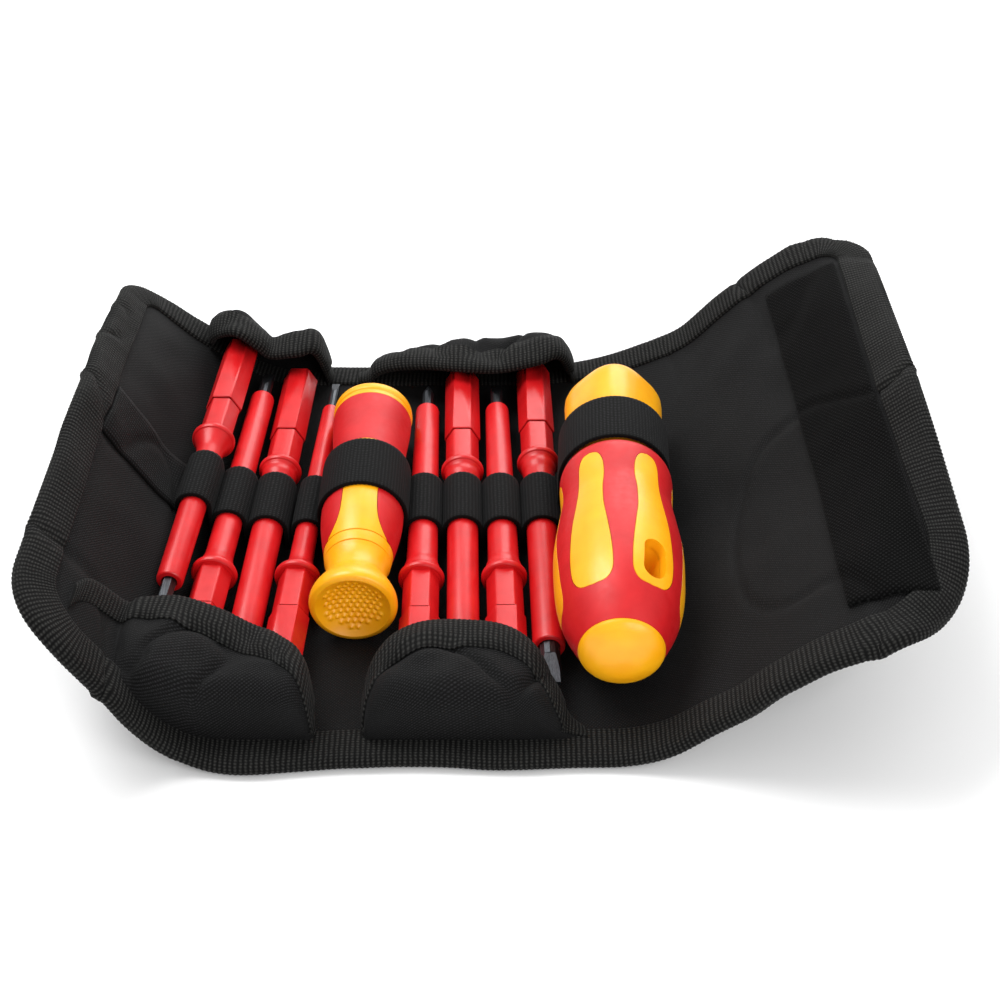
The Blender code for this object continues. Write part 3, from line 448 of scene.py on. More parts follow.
# %% Blade sizes
HEX_LENGTH, HEX_FLATS = 48.0, 9.5
NECK_LENGTH, NECK_STEP = 14.5, 0.35  # the shank's first stretch is this much slimmer on each flat
FLANGE_RADIUS, FLANGE_THICKNESS, FLANGE_CONE = 6.3, 2.0, 5.0
HEX_EDGE = 0.5
SHANK_SUNK = 0.8  # how far it starts inside the flange
RING_GROOVE_WIDTH, RING_GROOVE_DEPTH = 0.45, 0.5  # round the neck's end

# name: x and z under the webbing, flange y, splay, hex towards +Y, shaft radii, insulated length, rod radius
BLADES = {
    "blade_1": (-69.4, 18.43, 26.5, 2.6, True, 3.8, 3.6, 64.0, 2.0),
    "blade_2": (-60.13, 12.5, -28.5, 2.4, False, 3.9, 3.6, 84.0, 2.0),
    "blade_3": (-49.55, 9.9, 22.5, 1.6, True, 4.4, 4.3, 80.0, 2.8),
    "blade_4": (-38.25, 9.9, -27.0, 1.9, False, 3.3, 2.6, 80.0, 1.4),
    "blade_5": (-5.85, 9.9, -27.5, -0.8, False, 4.3, 3.6, 80.0, 1.8),
    "blade_6": (5.25, 9.9, 22.5, -1.2, True, 4.4, 4.3, 80.0, 2.8),
    "blade_7": (16.35, 9.9, -27.0, -1.5, False, 4.3, 3.6, 80.0, 2.0),
    "blade_8": (27.75, 9.9, 26.5, -1.0, True, 4.4, 4.3, 80.0, 2.8),
}
WEBBING_Y = 4.0


# %% Make the blades
def hex_shank():
    """A hexagonal bar in steps: a slim neck, a groove, the full shank and a chamfered end."""
    corner = 2 / math.sqrt(3)
    neck = (HEX_FLATS / 2 - NECK_STEP) * corner
    full = HEX_FLATS / 2 * corner
    stations = [
        (-SHANK_SUNK, neck), (NECK_LENGTH, neck), (NECK_LENGTH, neck - RING_GROOVE_DEPTH),
        (NECK_LENGTH + RING_GROOVE_WIDTH, neck - RING_GROOVE_DEPTH),
        (NECK_LENGTH + RING_GROOVE_WIDTH, full - 0.25), (NECK_LENGTH + 0.7, full), (HEX_LENGTH - 1.2, full),
        (HEX_LENGTH, full - 1.1),
    ]
    bm = bmesh.new()
    bmesh.ops.create_circle(bm, cap_ends=True, segments=6, radius=stations[0][1] * MM)
    bmesh.ops.rotate(bm, matrix=Matrix.Rotation(math.radians(30), 3, "Z"), verts=bm.verts)
    bmesh.ops.translate(bm, vec=(0, 0, stations[0][0] * MM), verts=bm.verts)
    end = bm.faces[:]
    for (z_before, r_before), (z, r) in zip(stations, stations[1:]):
        end = bmesh.ops.extrude_face_region(bm, geom=end)["geom"]
        ring = [g for g in end if isinstance(g, bmesh.types.BMVert)]
        bmesh.ops.scale(bm, vec=(r / r_before, r / r_before, 1), verts=ring)
        bmesh.ops.translate(bm, vec=(0, 0, (z - z_before) * MM), verts=ring)
        end = [g for g in end if isinstance(g, bmesh.types.BMFace)]
    bmesh.ops.recalc_face_normals(bm, faces=bm.faces)
    lengthways = [e for e in bm.edges if abs(e.verts[0].co.z - e.verts[1].co.z) > 3 * MM]
    bmesh.ops.bevel(
        bm, geom=lengthways, offset=HEX_EDGE * MM, affect="EDGES", segments=3, profile=0.5, material=-1
    )
    return bm


def blade_skin(r_root, r_tip, length, rod):
    """The flange, its cone, the tapering shaft, and an end with a socket that the steel rod comes out of."""
    cone_end = -FLANGE_THICKNESS - FLANGE_CONE
    flange = [
        (-0.15, FLANGE_RADIUS - 0.9), (0.0, FLANGE_RADIUS - 0.6), (-0.25, FLANGE_RADIUS - 0.2),
        (-0.7, FLANGE_RADIUS), (-FLANGE_THICKNESS + 0.6, FLANGE_RADIUS),
        (-FLANGE_THICKNESS + 0.1, FLANGE_RADIUS - 0.25),
    ]
    cone = curve_through(
        [
            (-FLANGE_THICKNESS - 0.1, FLANGE_RADIUS - 0.7), (-FLANGE_THICKNESS - 1.2, FLANGE_RADIUS - 1.2),
            (-FLANGE_THICKNESS - 3.0, r_root + 0.65), (cone_end, r_root + 0.15), (cone_end - 2.0, r_root),
        ],
        4,
    )
    end = [
        (-length + 0.9, r_tip), (-length + 0.35, r_tip - 0.12), (-length + 0.08, r_tip - 0.4),
        (-length, r_tip - 0.8), (-length, rod + 0.15), (-length + 1.5, rod + 0.15), (-length + 1.5, 0),
    ]
    profile = [(0.0, 0), (0.0, FLANGE_RADIUS - 1.4)] + flange + [tuple(p) for p in cone] + end
    return turned(profile, 56)


for name, (x, z, flange_y, splay, hex_up, r_root, r_tip, length, rod) in BLADES.items():
    drift = math.tan(math.radians(splay)) * (flange_y - WEBBING_Y)
    place = tool_frame(x + drift, flange_y, z, splay, 0 if hex_up else 180)
    skin = merged(blade_skin(r_root, r_tip, length, rod), hex_shank())
    made = piece(name + "_red_skin", skin, RED_INSULATION, name, place, [name + "_insulation"], 0.12)
    rod_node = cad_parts[name + "_rod"]
    rod_node.data.materials.clear()
    rod_node.data.materials.append(STEEL)
print("blades:", len(BLADES), "skins of", len(made.data.polygons), "faces")

# %% [markdown]
# ## The big handle
#
# A yellow core is moulded first, and a red grip is moulded over it, with six long windows through which
# raised pads of the core come up flush. So the grip is a turned shell with window-shaped prisms cut from it,
# and the pads are the same prisms, a little smaller, cut from the same turned outline. The line between the
# two colours is then a real groove. A slot for a cord runs through one window.

# %% Big handle sizes
BIG_X, BIG_Z, BIG_SPLAY = 48.48, 22.2, 2.0
BIG_PLACE = tool_frame(BIG_X, 0, BIG_Z, BIG_SPLAY)
BIG_OUTLINE = (
    (-67.0, 10.8), (-63.5, 12.6), (-58.0, 14.8), (-51.0, 16.4), (-42.0, 17.1), (-32.0, 17.2), (-22.0, 16.2),
    (-14.0, 15.3), (-7.0, 15.6), (-2.0, 15.7), (0.3, 15.1), (1.0, 14.2),
)
GRIP_WALL = 2.6
NECK_RADIUS, NECK_END = 12.4, 22.0
COLLAR_START, COLLAR_END = 20.8, 41.5
COLLAR_RADIUS, COLLAR_LOBE, COLLAR_LOBES = 13.7, 0.75, 4
BORE_RADIUS, BORE_DEPTH = 7.9, 46.0
WINDOWS = 6
WINDOW_FROM, WINDOW_TO = 9.5, 22.0  # a window's prism, out from the axis
HOLE_REACH = 25
GROOVE = 0.16  # between a pad and the grip
HOLE_AT, HOLE_LENGTH, HOLE_WIDTH = -48.5, 13.0, 6.4


def window_outline(shrink):
    """Half of a pin-shaped window, mirrored: round and wide towards the butt, slim towards the neck."""
    half = [
        (0.0, -57.5), (3.6, -56.8), (5.6, -54.0), (6.1, -49.5), (6.0, -44.0), (5.3, -36.0), (4.3, -28.0),
        (3.8, -20.0), (3.9, -13.0), (3.6, -8.0), (2.3, -4.9), (0.0, -4.0),
    ]
    line = curve_through(half, 4)
    side = []
    for a, b in zip(line, line[1:]):
        along = (b - a).normalized()
        side.append((max(a.x - along.y * shrink, 0.0), a.y + along.x * shrink))
    side = [(0.0, half[0][1] + shrink)] + side[1:] + [(0.0, half[-1][1] - shrink)]
    return side + [(-x, y) for x, y in reversed(side[1:-1])]


def window_blocks(shrink):
    """Prisms that stand radially, one for each window, from inside the core to outside the grip."""
    blocks = []
    for index in range(WINDOWS):
        blocks.append(prism(window_outline(shrink), WINDOW_FROM, WINDOW_TO, 360 / WINDOWS * (index + 0.5)))
    return merged(*blocks)


def slot_bar():
    """A long round-ended bar that cuts the slot for a cord."""
    half, radius = (HOLE_LENGTH - HOLE_WIDTH) / 2, HOLE_WIDTH / 2
    outline = []
    for centre, start in ((half, 0), (-half, 180)):
        for step in range(17):
            turn = math.radians(start + 180 * step / 16)
            outline.append((radius * math.cos(turn), HOLE_AT + centre + radius * math.sin(turn)))
    return prism(outline, -HOLE_REACH, HOLE_REACH, 180 / WINDOWS)


# %% Make the big handle
outer = [tuple(p) for p in reversed(curve_through(BIG_OUTLINE, 4))]
inner = [(z, r - GRIP_WALL) for z, r in reversed(outer)]
grip = carved(turned(outer + inner, 96, ring=True), window_blocks(0.0), "DIFFERENCE")
made = piece("big_red_grip", grip, RED_GRIP, "big_handle", BIG_PLACE, ["big_grip"], 0.35)

pad_ring = turned(outer + [(z, max(r - 0.4, 8.5)) for z, r in inner], 96, ring=True)
pads = carved(pad_ring, window_blocks(GROOVE), "INTERSECT")
pads = carved(pads, slot_bar(), "DIFFERENCE")
made = piece("big_window_pads", pads, YELLOW_CORE, "big_handle", BIG_PLACE, ["big_core"], 0.3)

front = BIG_OUTLINE[-1][0]
core_profile = [(NECK_END, 0), (NECK_END, NECK_RADIUS)]
core_profile += [(front + 1.6, NECK_RADIUS), (front + 0.4, NECK_RADIUS + 0.9)]
core_profile += [(z, r - GRIP_WALL - 0.1) for z, r in outer[2:]] + [(BIG_OUTLINE[0][0], 0)]
core = carved(turned(core_profile, 72), slot_bar(), "DIFFERENCE")
bore_end = COLLAR_END - BORE_DEPTH
bore = [(NECK_END + 1, 0), (NECK_END + 1, BORE_RADIUS), (bore_end, BORE_RADIUS), (bore_end, 0)]
core = carved(core, turned(bore, 48), "DIFFERENCE")
made = piece("big_yellow_core", core, YELLOW_CORE, "big_handle", BIG_PLACE, round_mm=0.2)


def lobed_ring(bm, z, scale):
    """A ring of the collar's outline, drawn at a height."""
    made = bmesh.ops.create_circle(bm, segments=96, radius=1)["verts"]
    for vert in made:
        angle = math.atan2(vert.co.y, vert.co.x)
        radius = (COLLAR_RADIUS + COLLAR_LOBE * math.cos(COLLAR_LOBES * angle)) * scale
        vert.co = (radius * math.cos(angle) * MM, radius * math.sin(angle) * MM, z * MM)
    return made


def round_ring(bm, z, radius):
    """A plain ring at a height, with as many points as a lobed one."""
    made = bmesh.ops.create_circle(bm, segments=96, radius=radius * MM)["verts"]
    bmesh.ops.translate(bm, vec=(0, 0, z * MM), verts=made)
    return made


def ring_edges(ring):
    """The edges that join a ring's own points."""
    return list({e for v in ring for e in v.link_edges if all(w in ring for w in e.verts)})


COLLAR_STATIONS = (
    (COLLAR_START, 0.93), (COLLAR_START + 0.5, 0.97), (COLLAR_START + 1.8, 0.99), (COLLAR_START + 8.0, 0.985),
    (COLLAR_END - 6.0, 1.0), (COLLAR_END - 3.4, 0.99), (COLLAR_END - 1.7, 0.955), (COLLAR_END - 0.5, 0.895),
    (COLLAR_END, 0.82),
)
bm = bmesh.new()
rings = [lobed_ring(bm, z, scale) for z, scale in COLLAR_STATIONS]
rings += [round_ring(bm, COLLAR_END, BORE_RADIUS + 0.6), round_ring(bm, COLLAR_END - 0.6, BORE_RADIUS)]
rings += [round_ring(bm, COLLAR_START, BORE_RADIUS)]
for a, b in zip(rings, rings[1:] + rings[:1]):
    bmesh.ops.bridge_loops(bm, edges=ring_edges(a) + ring_edges(b))
bmesh.ops.recalc_face_normals(bm, faces=bm.faces)
made = piece("big_lobed_collar", bm, YELLOW_CORE, "big_handle", BIG_PLACE)

butt = BIG_OUTLINE[0][0]
disc = curve_through(
    [(butt - 0.5, 10.9), (butt - 1.5, 10.3), (butt - 2.7, 8.6), (butt - 3.9, 5.4), (butt - 4.5, 0.0)], 6
)
disc_profile = [(butt + 0.3, 0), (butt + 0.3, 10.3), (butt - 0.1, 10.75)] + [tuple(p) for p in disc]
made = piece("big_butt_disc", turned(disc_profile), YELLOW_CORE, "big_handle", BIG_PLACE, ["big_butt_cap"])

# %% [markdown]
# ## The small handle
#
# The stubby handle has the same build, with one broad yellow strip above and one below, and a cap that turns
# on a pin so that a palm can press on it. The cap's face is dished and covered in small bumps for grip. The
# bumps are real: the dish is turned with many fine rings, and each point is lifted by the nearest bump.

# %% Small handle sizes
SMALL_X, SMALL_Z = -22.57, 15.0
SMALL_PLACE = tool_frame(SMALL_X, 0, SMALL_Z)
SMALL_OUTLINE = (
    (-22.5, 9.6), (-18.0, 10.4), (-11.0, 11.3), (-4.0, 11.5), (4.0, 10.8), (14.0, 10.5), (25.0, 10.9),
    (34.0, 11.6), (38.5, 11.7),
)
SMALL_WALL = 1.6
SMALL_END = 44.5
STRIP_FROM, STRIP_TO = 4.0, 15.0  # a strip's prism, out from the axis
CAP_OUTLINE = (
    (-26.5, 9.0), (-28.0, 8.5), (-31.0, 8.15), (-34.5, 8.6), (-37.6, 10.2), (-40.4, 11.4), (-42.4, 11.7),
    (-43.7, 11.3), (-44.2, 10.4),
)
DISH_RADIUS, DISH_DEPTH, DISH_ROUNDNESS = 9.2, 3.2, 2.6
DISH_LIP = DISH_RADIUS + 0.7
DISH_RINGS = 60
CAP_FACE, BUMPED_BELOW = -44.25, -41.0
BARE_RIM = 1.4  # no bump stands this near the dish's edge
BUMP_PITCH, BUMP_HEIGHT, BUMP_RADIUS = 1.75, 0.6, 0.55


def strip_blocks(shrink):
    """Prisms above and below that leave the strips bare. They flare where the strip runs into the cap's shoulder."""
    flare = [(11.5, -26.0), (9.0, -23.6), (6.9, -20.6), (5.5, -16.5), (5.0, -11.0), (4.9, 0.0), (4.9, 14.5)]
    side = [(p.x - shrink, p.y) for p in curve_through(flare, 5)]
    side += [(p.x - shrink, p.y - shrink) for p in curve_through([(4.4, 16.4), (3.2, 17.2), (0.6, 17.4)], 4)]
    outline = side + [(-x, y) for x, y in reversed(side)]
    upper = prism(outline, STRIP_FROM + shrink, STRIP_TO)
    return merged(upper, prism(outline, -STRIP_TO, -STRIP_FROM - shrink))


# %% Make the small handle
outer = [tuple(p) for p in reversed(curve_through(SMALL_OUTLINE, 4))]
inner = [(z, r - SMALL_WALL) for z, r in reversed(outer)]
grip = carved(turned(outer + inner, 96, ring=True), strip_blocks(0.0), "DIFFERENCE")
made = piece("small_red_grip", grip, RED_GRIP, "small_handle", SMALL_PLACE, ["small_grip"], 0.3)

pads = carved(
    turned(outer + [(z, r - 0.4) for z, r in inner], 96, ring=True), strip_blocks(GROOVE), "INTERSECT"
)
made = piece("small_yellow_strips", pads, YELLOW_CORE, "small_handle", SMALL_PLACE, ["small_core"], 0.2)

high = SMALL_OUTLINE[-1][0]
lip = [
    (SMALL_END - 1.0, BORE_RADIUS), (SMALL_END - 0.2, BORE_RADIUS + 0.5), (SMALL_END, BORE_RADIUS + 1.2),
    (SMALL_END, 10.3), (SMALL_END - 0.4, 11.2), (SMALL_END - 1.2, 11.8), (SMALL_END - 2.6, 11.95),
    (SMALL_END - 3.4, 11.75), (SMALL_END - 3.7, 11.35), (SMALL_END - 4.1, 11.35), (SMALL_END - 4.4, 11.7),
    (high + 0.15, 11.7), (high + 0.15, 9.9),
]
core_profile = lip + [(z, r - SMALL_WALL - 0.1) for z, r in outer[1:]]
core_profile += [(-22.7, 8.0), (-22.7, 9.45), (-24.4, 9.3), (-26.0, 9.0)]
core_profile += [(-26.0, 2.5), (-1.4, 2.5), (-1.4, BORE_RADIUS)]
core = turned(core_profile, 96, ring=True)
made = piece("small_yellow_core", core, YELLOW_CORE, "small_handle", SMALL_PLACE, round_mm=0.12)


def dish_bump(x, y):
    """Height over the dish of the bump nearest to a point, all in millimetres."""
    row = round(y / (BUMP_PITCH * math.sqrt(3) / 2))
    shift = 0.5 * (row % 2)
    column = round(x / BUMP_PITCH - shift)
    near_x, near_y = (column + shift) * BUMP_PITCH, row * BUMP_PITCH * math.sqrt(3) / 2
    if math.hypot(near_x, near_y) > DISH_RADIUS - BARE_RIM:
        return 0.0
    off = math.hypot(x - near_x, y - near_y) / BUMP_RADIUS
    return BUMP_HEIGHT * math.exp(-off * off)


rim = [tuple(p) for p in curve_through(CAP_OUTLINE, 5)]
dish = []
for step in range(DISH_RINGS + 1):
    radius = DISH_LIP - DISH_LIP * (step / DISH_RINGS)
    depth = DISH_DEPTH * (1 - (radius / DISH_LIP) ** DISH_ROUNDNESS)
    dish.append((CAP_FACE + depth, radius))
bm = turned([(-26.3, 0), (-26.3, 8.8)] + rim + dish, 160)
for vert in bm.verts:
    x, y, z = vert.co / MM
    if z < BUMPED_BELOW and math.hypot(x, y) < DISH_RADIUS:
        vert.co.z -= dish_bump(x, y) * MM
made = piece("small_swivel_cap", bm, YELLOW_CORE, "small_cap", SMALL_PLACE, ["swivel_cap"])
for node in ("small_socket_sleeve", "small_retaining_clip", "cap_pivot", "big_socket_sleeve", "big_retaining_clip"):
    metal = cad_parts[node]
    metal.data.materials.clear()
    metal.data.materials.append(STEEL)
print("small handle: cap of", len(made.data.polygons), "faces")

# %% [markdown]
# ## The pouch's cloth
#
# The pouch is one long padded sheet: a flat floor, a rising spine at each side and a cover beyond it. Laid
# open, its two ends don't rise alike, so the sheet is drawn through three lines across it: one along the
# front edge, one along the middle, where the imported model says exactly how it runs, and one along the back
# edge. A point on the sheet is named by two flat distances, a across from the seam and y along the tools, as
# if the cloth lay flat. That one function then gives the cloth, its bound edge, the fastener tape and the
# webbing's tail, and all of them fit each other.

# %% The three lines of the sheet
SEAM_X = 5.0  # the two halves of the sheet meet under the blades
CLOTH = 2.2  # its thickness
LIE = 1.9  # height of the middle of the cloth where it lies flat
HALF_DEPTH = 86.0  # from the middle to the edge of the cloth, inside its binding
CORNERS = {(-1, -1): 22.0, (-1, 1): 14.0, (1, -1): 37.0, (1, 1): 15.0}  # left or right, then front or back
LEFT_HINGE, RIGHT_HINGE = (-79.95, 19.08), (79.89, 14.73)
LEFT_SLOPES, RIGHT_SLOPES = (47.5, 64.0), (38.0, 43.0)  # spine, then cover
LEFT_COVER, RIGHT_COVER = 38.0, 63.5


def middle_line(hinge, slopes, cover, side):
    """From the seam along the floor, up the spine to the hinge, and along the cover."""
    spine, panel = (math.radians(s) for s in slopes)
    run = (hinge[1] - LIE) / math.tan(spine)
    end = (hinge[0] + side * cover * math.cos(panel), hinge[1] + cover * math.sin(panel))
    return [(SEAM_X, LIE), (hinge[0] - side * run, LIE), hinge, end]


LEFT_LINES = (
    [(SEAM_X, 2), (-57, 2), (-64.8, 6), (-69.7, 12), (-79.2, 26), (-86.4, 38.8), (-92.6, 44.5), (-99, 46.9)],
    middle_line(LEFT_HINGE, LEFT_SLOPES, LEFT_COVER, -1),
    [(SEAM_X, 2), (-44, 2), (-53, 2.8), (-63, 6.8), (-72, 12), (-81, 20), (-89.8, 28.3), (-98.8, 33), (-101.5, 37.5)],
)
RIGHT_FRONT = [(SEAM_X, 2), (46, 2), (54, 4), (60, 7), (67, 12.8), (73.6, 17.5), (80, 24.5), (86.7, 29.5)]
RIGHT_FRONT += [(93.2, 34), (99.5, 38.5), (106, 41.5), (113, 42.9), (122, 39.5), (132, 36)]
RIGHT_BACK = [(SEAM_X, 2), (30, 2.2), (45, 4.5), (55.4, 8.5), (65, 13), (74.5, 17.5), (83.4, 27)]
RIGHT_BACK += [(92.3, 35.5), (101, 43), (109.7, 49), (119, 52), (128, 52.5)]
RIGHT_LINES = (RIGHT_FRONT, middle_line(RIGHT_HINGE, RIGHT_SLOPES, RIGHT_COVER, 1), RIGHT_BACK)
LINE_STEPS = 120
EASING = 4  # passes that round a line's corners
EDGE_HOLD = 1.25  # above 1, the middle line holds further out before an edge's line takes over
WAVE_LENGTH, WAVE_HEIGHT = 26, 1.3  # of the front and back edges, seen from above
BULGE_AT, BULGE_WIDTH, BULGE_OUT = -56, 13, 2.4  # of the front edge beside the left hood


def even_line(points):
    """A line resampled at even steps along its length, with its corners eased."""
    points = [Vector(p) for p in points]
    lengths = [0.0]
    for a, b in zip(points, points[1:]):
        lengths.append(lengths[-1] + (b - a).length)
    line, k = [], 0
    for step in range(LINE_STEPS + 1):
        want = lengths[-1] * step / LINE_STEPS
        while k < len(points) - 2 and lengths[k + 1] < want:
            k += 1
        share = (want - lengths[k]) / (lengths[k + 1] - lengths[k])
        line.append(points[k].lerp(points[k + 1], share))
    for _ in range(EASING):
        eased = list(line)
        for i in range(2, LINE_STEPS - 1):
            eased[i] = (line[i - 2] + line[i - 1] + line[i] + line[i + 1] + line[i + 2]) / 5
        line = eased
    return line, lengths[-1]


LINES = {-1: [even_line(p) for p in LEFT_LINES], 1: [even_line(p) for p in RIGHT_LINES]}
REACH = {side: lines[1][1] for side, lines in LINES.items()}
print("cloth reaches", round(REACH[-1]), "mm left and", round(REACH[1]), "mm right of its seam")


# %% A point on the sheet
def eased(value):
    """A 0 to 1 value with a soft start and a soft end."""
    value = min(max(value, 0.0), 1.0)
    return value * value * (3 - 2 * value)


def along_line(line, share):
    """A point on an even line at a share of its length, run on straight past its end."""
    place = share * LINE_STEPS
    k = min(max(int(place), 0), LINE_STEPS - 1)
    return line[k].lerp(line[k + 1], place - k)


def bare_sheet(a, y):
    """The sheet without its wrinkles."""
    side = 1 if a >= 0 else -1
    share = abs(a) / REACH[side]
    front, middle, back = (along_line(line, share) for line, _ in LINES[side])
    to_front, to_back = (max(part * y / HALF_DEPTH, 0.0) ** EDGE_HOLD for part in (-1, 1))
    flat = middle + (front - middle) * to_front + (back - middle) * to_back
    wave = noise.noise(Vector((a / WAVE_LENGTH, 2.0 if y > 0 else 5.0, 0))) * WAVE_HEIGHT
    bulge = BULGE_OUT * math.exp(-(((a - BULGE_AT) / BULGE_WIDTH) ** 2)) * to_front
    return Vector((flat.x, y + (wave * abs(y) * y / HALF_DEPTH**2) - bulge, flat.y))


def normal_of(surface, a, b, step=0.5):
    """The upward normal of a surface at a point."""
    across = surface(a + step, b) - surface(a - step, b)
    along = surface(a, b + step) - surface(a, b - step)
    normal = across.cross(along).normalized()
    return normal if normal.z > 0 else -normal


PRESSED_WITHIN, LOOSENS_OVER = 62, 26  # from the middle of the row of tools
SOFT_HOLLOW, CREASE_DEPTH, CREASE_NARROWNESS, PRESSED_HOLLOW = 1.8, 0.8, 12, 0.3


def wrinkle(a, y):
    """Soft hollows and a few sharper creases in the covers. Under the tools the cloth is pressed flat."""
    loose = eased((abs(a + 3) - PRESSED_WITHIN) / LOOSENS_OVER)
    place = Vector((a / 30, y / 38, 4.0))
    soft = noise.noise(place) * SOFT_HOLLOW + noise.noise(place * 2.7) * 0.5
    zero_line = abs(noise.noise(place * 0.9 + Vector((7.0, 3.0, 0))))
    crease = -CREASE_DEPTH * max(0.0, 1 - zero_line * CREASE_NARROWNESS)
    pressed = noise.noise(Vector((a / 14, y / 16, 9.0))) * PRESSED_HOLLOW
    return (soft + crease) * loose + pressed * (1 - loose)


def sheet(a, y):
    """A point on the middle of the cloth, in millimetres."""
    return bare_sheet(a, y) + normal_of(bare_sheet, a, y) * wrinkle(a, y)


def cloth_top(x, y):
    """Height of the cloth's upper side over a point of the floor or a spine."""
    side = 1 if x >= SEAM_X else -1
    low, high = 0.0, REACH[side]
    for _ in range(18):
        middle = (low + high) / 2
        if (bare_sheet(side * middle, y).x - x) * side < 0:
            low = middle
        else:
            high = middle
    return bare_sheet(side * low, y).z + CLOTH / 2


# %% [markdown]
# The cloth itself is a grid whose points are named by the same two distances. Near the outer edge its columns
# shorten, which rounds the corners. Solidify gives the padding's thickness.


# %% Grids and the two halves of the cloth
def grid_piece(name, columns, rows, point, uv, finish, tube=False):
    """A grid of points: point(i, j) gives each one's place in mm, and uv(i, j) its place in the pattern in mm.

    As a tube, its last row meets its first and both ends are capped.
    """
    bm = bmesh.new()
    bmesh.ops.create_grid(bm, x_segments=columns, y_segments=rows, size=1)
    layer = bm.loops.layers.uv.new("cloth")
    names = {v: (round((v.co.x + 1) / 2 * columns), round((v.co.y + 1) / 2 * rows)) for v in bm.verts}
    for face in bm.faces:
        for loop in face.loops:
            loop[layer].uv = Vector(uv(*names[loop.vert])) * MM
    for vert, (i, j) in names.items():
        vert.co = point(i, 0 if tube and j == rows else j) * MM
    if tube:
        bmesh.ops.remove_doubles(bm, verts=bm.verts, dist=0.0001 * MM)
        open_edges = [e for e in bm.edges if e.is_boundary]
        bmesh.ops.holes_fill(bm, edges=open_edges, sides=0)
        bmesh.ops.recalc_face_normals(bm, faces=bm.faces)
    return piece(name, bm, finish, sharp=60)


def edge_reach(inside, radius):
    """How far the cloth reaches from its middle along y, this far inside its outer end."""
    if inside >= radius:
        return HALF_DEPTH
    return HALF_DEPTH - radius + math.sqrt(radius**2 - (radius - inside) ** 2)


def facing_up(obj):
    """Turns an open grid's faces so that they look up, for Solidify and the shading."""
    bm = bmesh.new()
    bm.from_mesh(obj.data)
    if sum(f.normal.z * f.calc_area() for f in bm.faces) < 0:
        bmesh.ops.reverse_faces(bm, faces=bm.faces)
    bm.to_mesh(obj.data)
    bm.free()


def thickened(obj, thickness):
    """Gives a grid its thickness, half of it on each side."""
    facing_up(obj)
    shell = obj.modifiers.new("padding", "SOLIDIFY")
    shell.thickness, shell.offset = thickness * MM, 0.0
    return obj


def fold_blend(obj):
    """Bakes a piece's placement into its mesh, leaving its shape as it is."""
    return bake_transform(obj)


CLOTH_COLUMNS, CLOTH_ROWS = 90, 96
CORNER_COLUMNS = 16

for side, word in ((-1, "left"), (1, "right")):
    front_corner, back_corner = CORNERS[side, -1], CORNERS[side, 1]

    def flat_place(i, j):
        """The two flat distances of a grid point. Columns crowd together in the corners."""
        if i <= CLOTH_COLUMNS - CORNER_COLUMNS:
            inside = REACH[side] - (REACH[side] - front_corner) * i / (CLOTH_COLUMNS - CORNER_COLUMNS)
        else:
            turn = math.pi / 2 * (CLOTH_COLUMNS - i) / CORNER_COLUMNS
            inside = front_corner * (1 - math.cos(turn))
        low, high = -edge_reach(inside, front_corner), edge_reach(inside, back_corner)
        return side * (REACH[side] - inside), low + (high - low) * j / CLOTH_ROWS

    cloth = grid_piece(
        f"pouch_cloth_{word}",
        CLOTH_COLUMNS,
        CLOTH_ROWS,
        lambda i, j: sheet(*flat_place(i, j)),
        lambda i, j: (flat_place(i, j)[0] + 200, flat_place(i, j)[1] + 100),
        WOVEN,
    )
    thickened(cloth, CLOTH)
    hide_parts(f"{word}_panel", *(["pouch_floor"] if side < 0 else []))
    fold_blend(cloth)
    print(cloth.name, "faces:", len(cloth.data.polygons))

# %% [markdown]
# ## The bound edge
#
# Ribbed tape is folded over the raw edge of the cloth and sewn through. It is a closed section, like a
# flattened letter U, carried along the edge: each point of the section is found by going a little inside the
# edge on the sheet itself, so the tape follows every bend. The ribs are real ridges, large enough to show as
# a toothed outline.

# %% A tape around any edge
TAPE_SECTION = (  # distance inside the edge, height over the middle of the cloth
    (9.6, 1.1), (9.5, 1.75), (9.0, 2.0), (6.5, 2.05), (3.5, 2.1), (1.2, 2.05), (-0.2, 1.6), (-1.0, 0.85),
    (-1.3, 0.0), (-1.0, -0.85), (-0.2, -1.6), (1.2, -1.95), (3.5, -1.95), (6.5, -1.9), (9.5, -1.6),
    (9.6, -1.1),
)
RIB_PITCH, RIB_HEIGHT = 1.35, 0.11
TAPE_STEP = 0.34  # along the edge
MM_STEP, SHARE_STEP = 0.5, 0.02  # for normals, on a surface named by millimetres or by shares of its size
RIBBED_ABOVE = 1.3


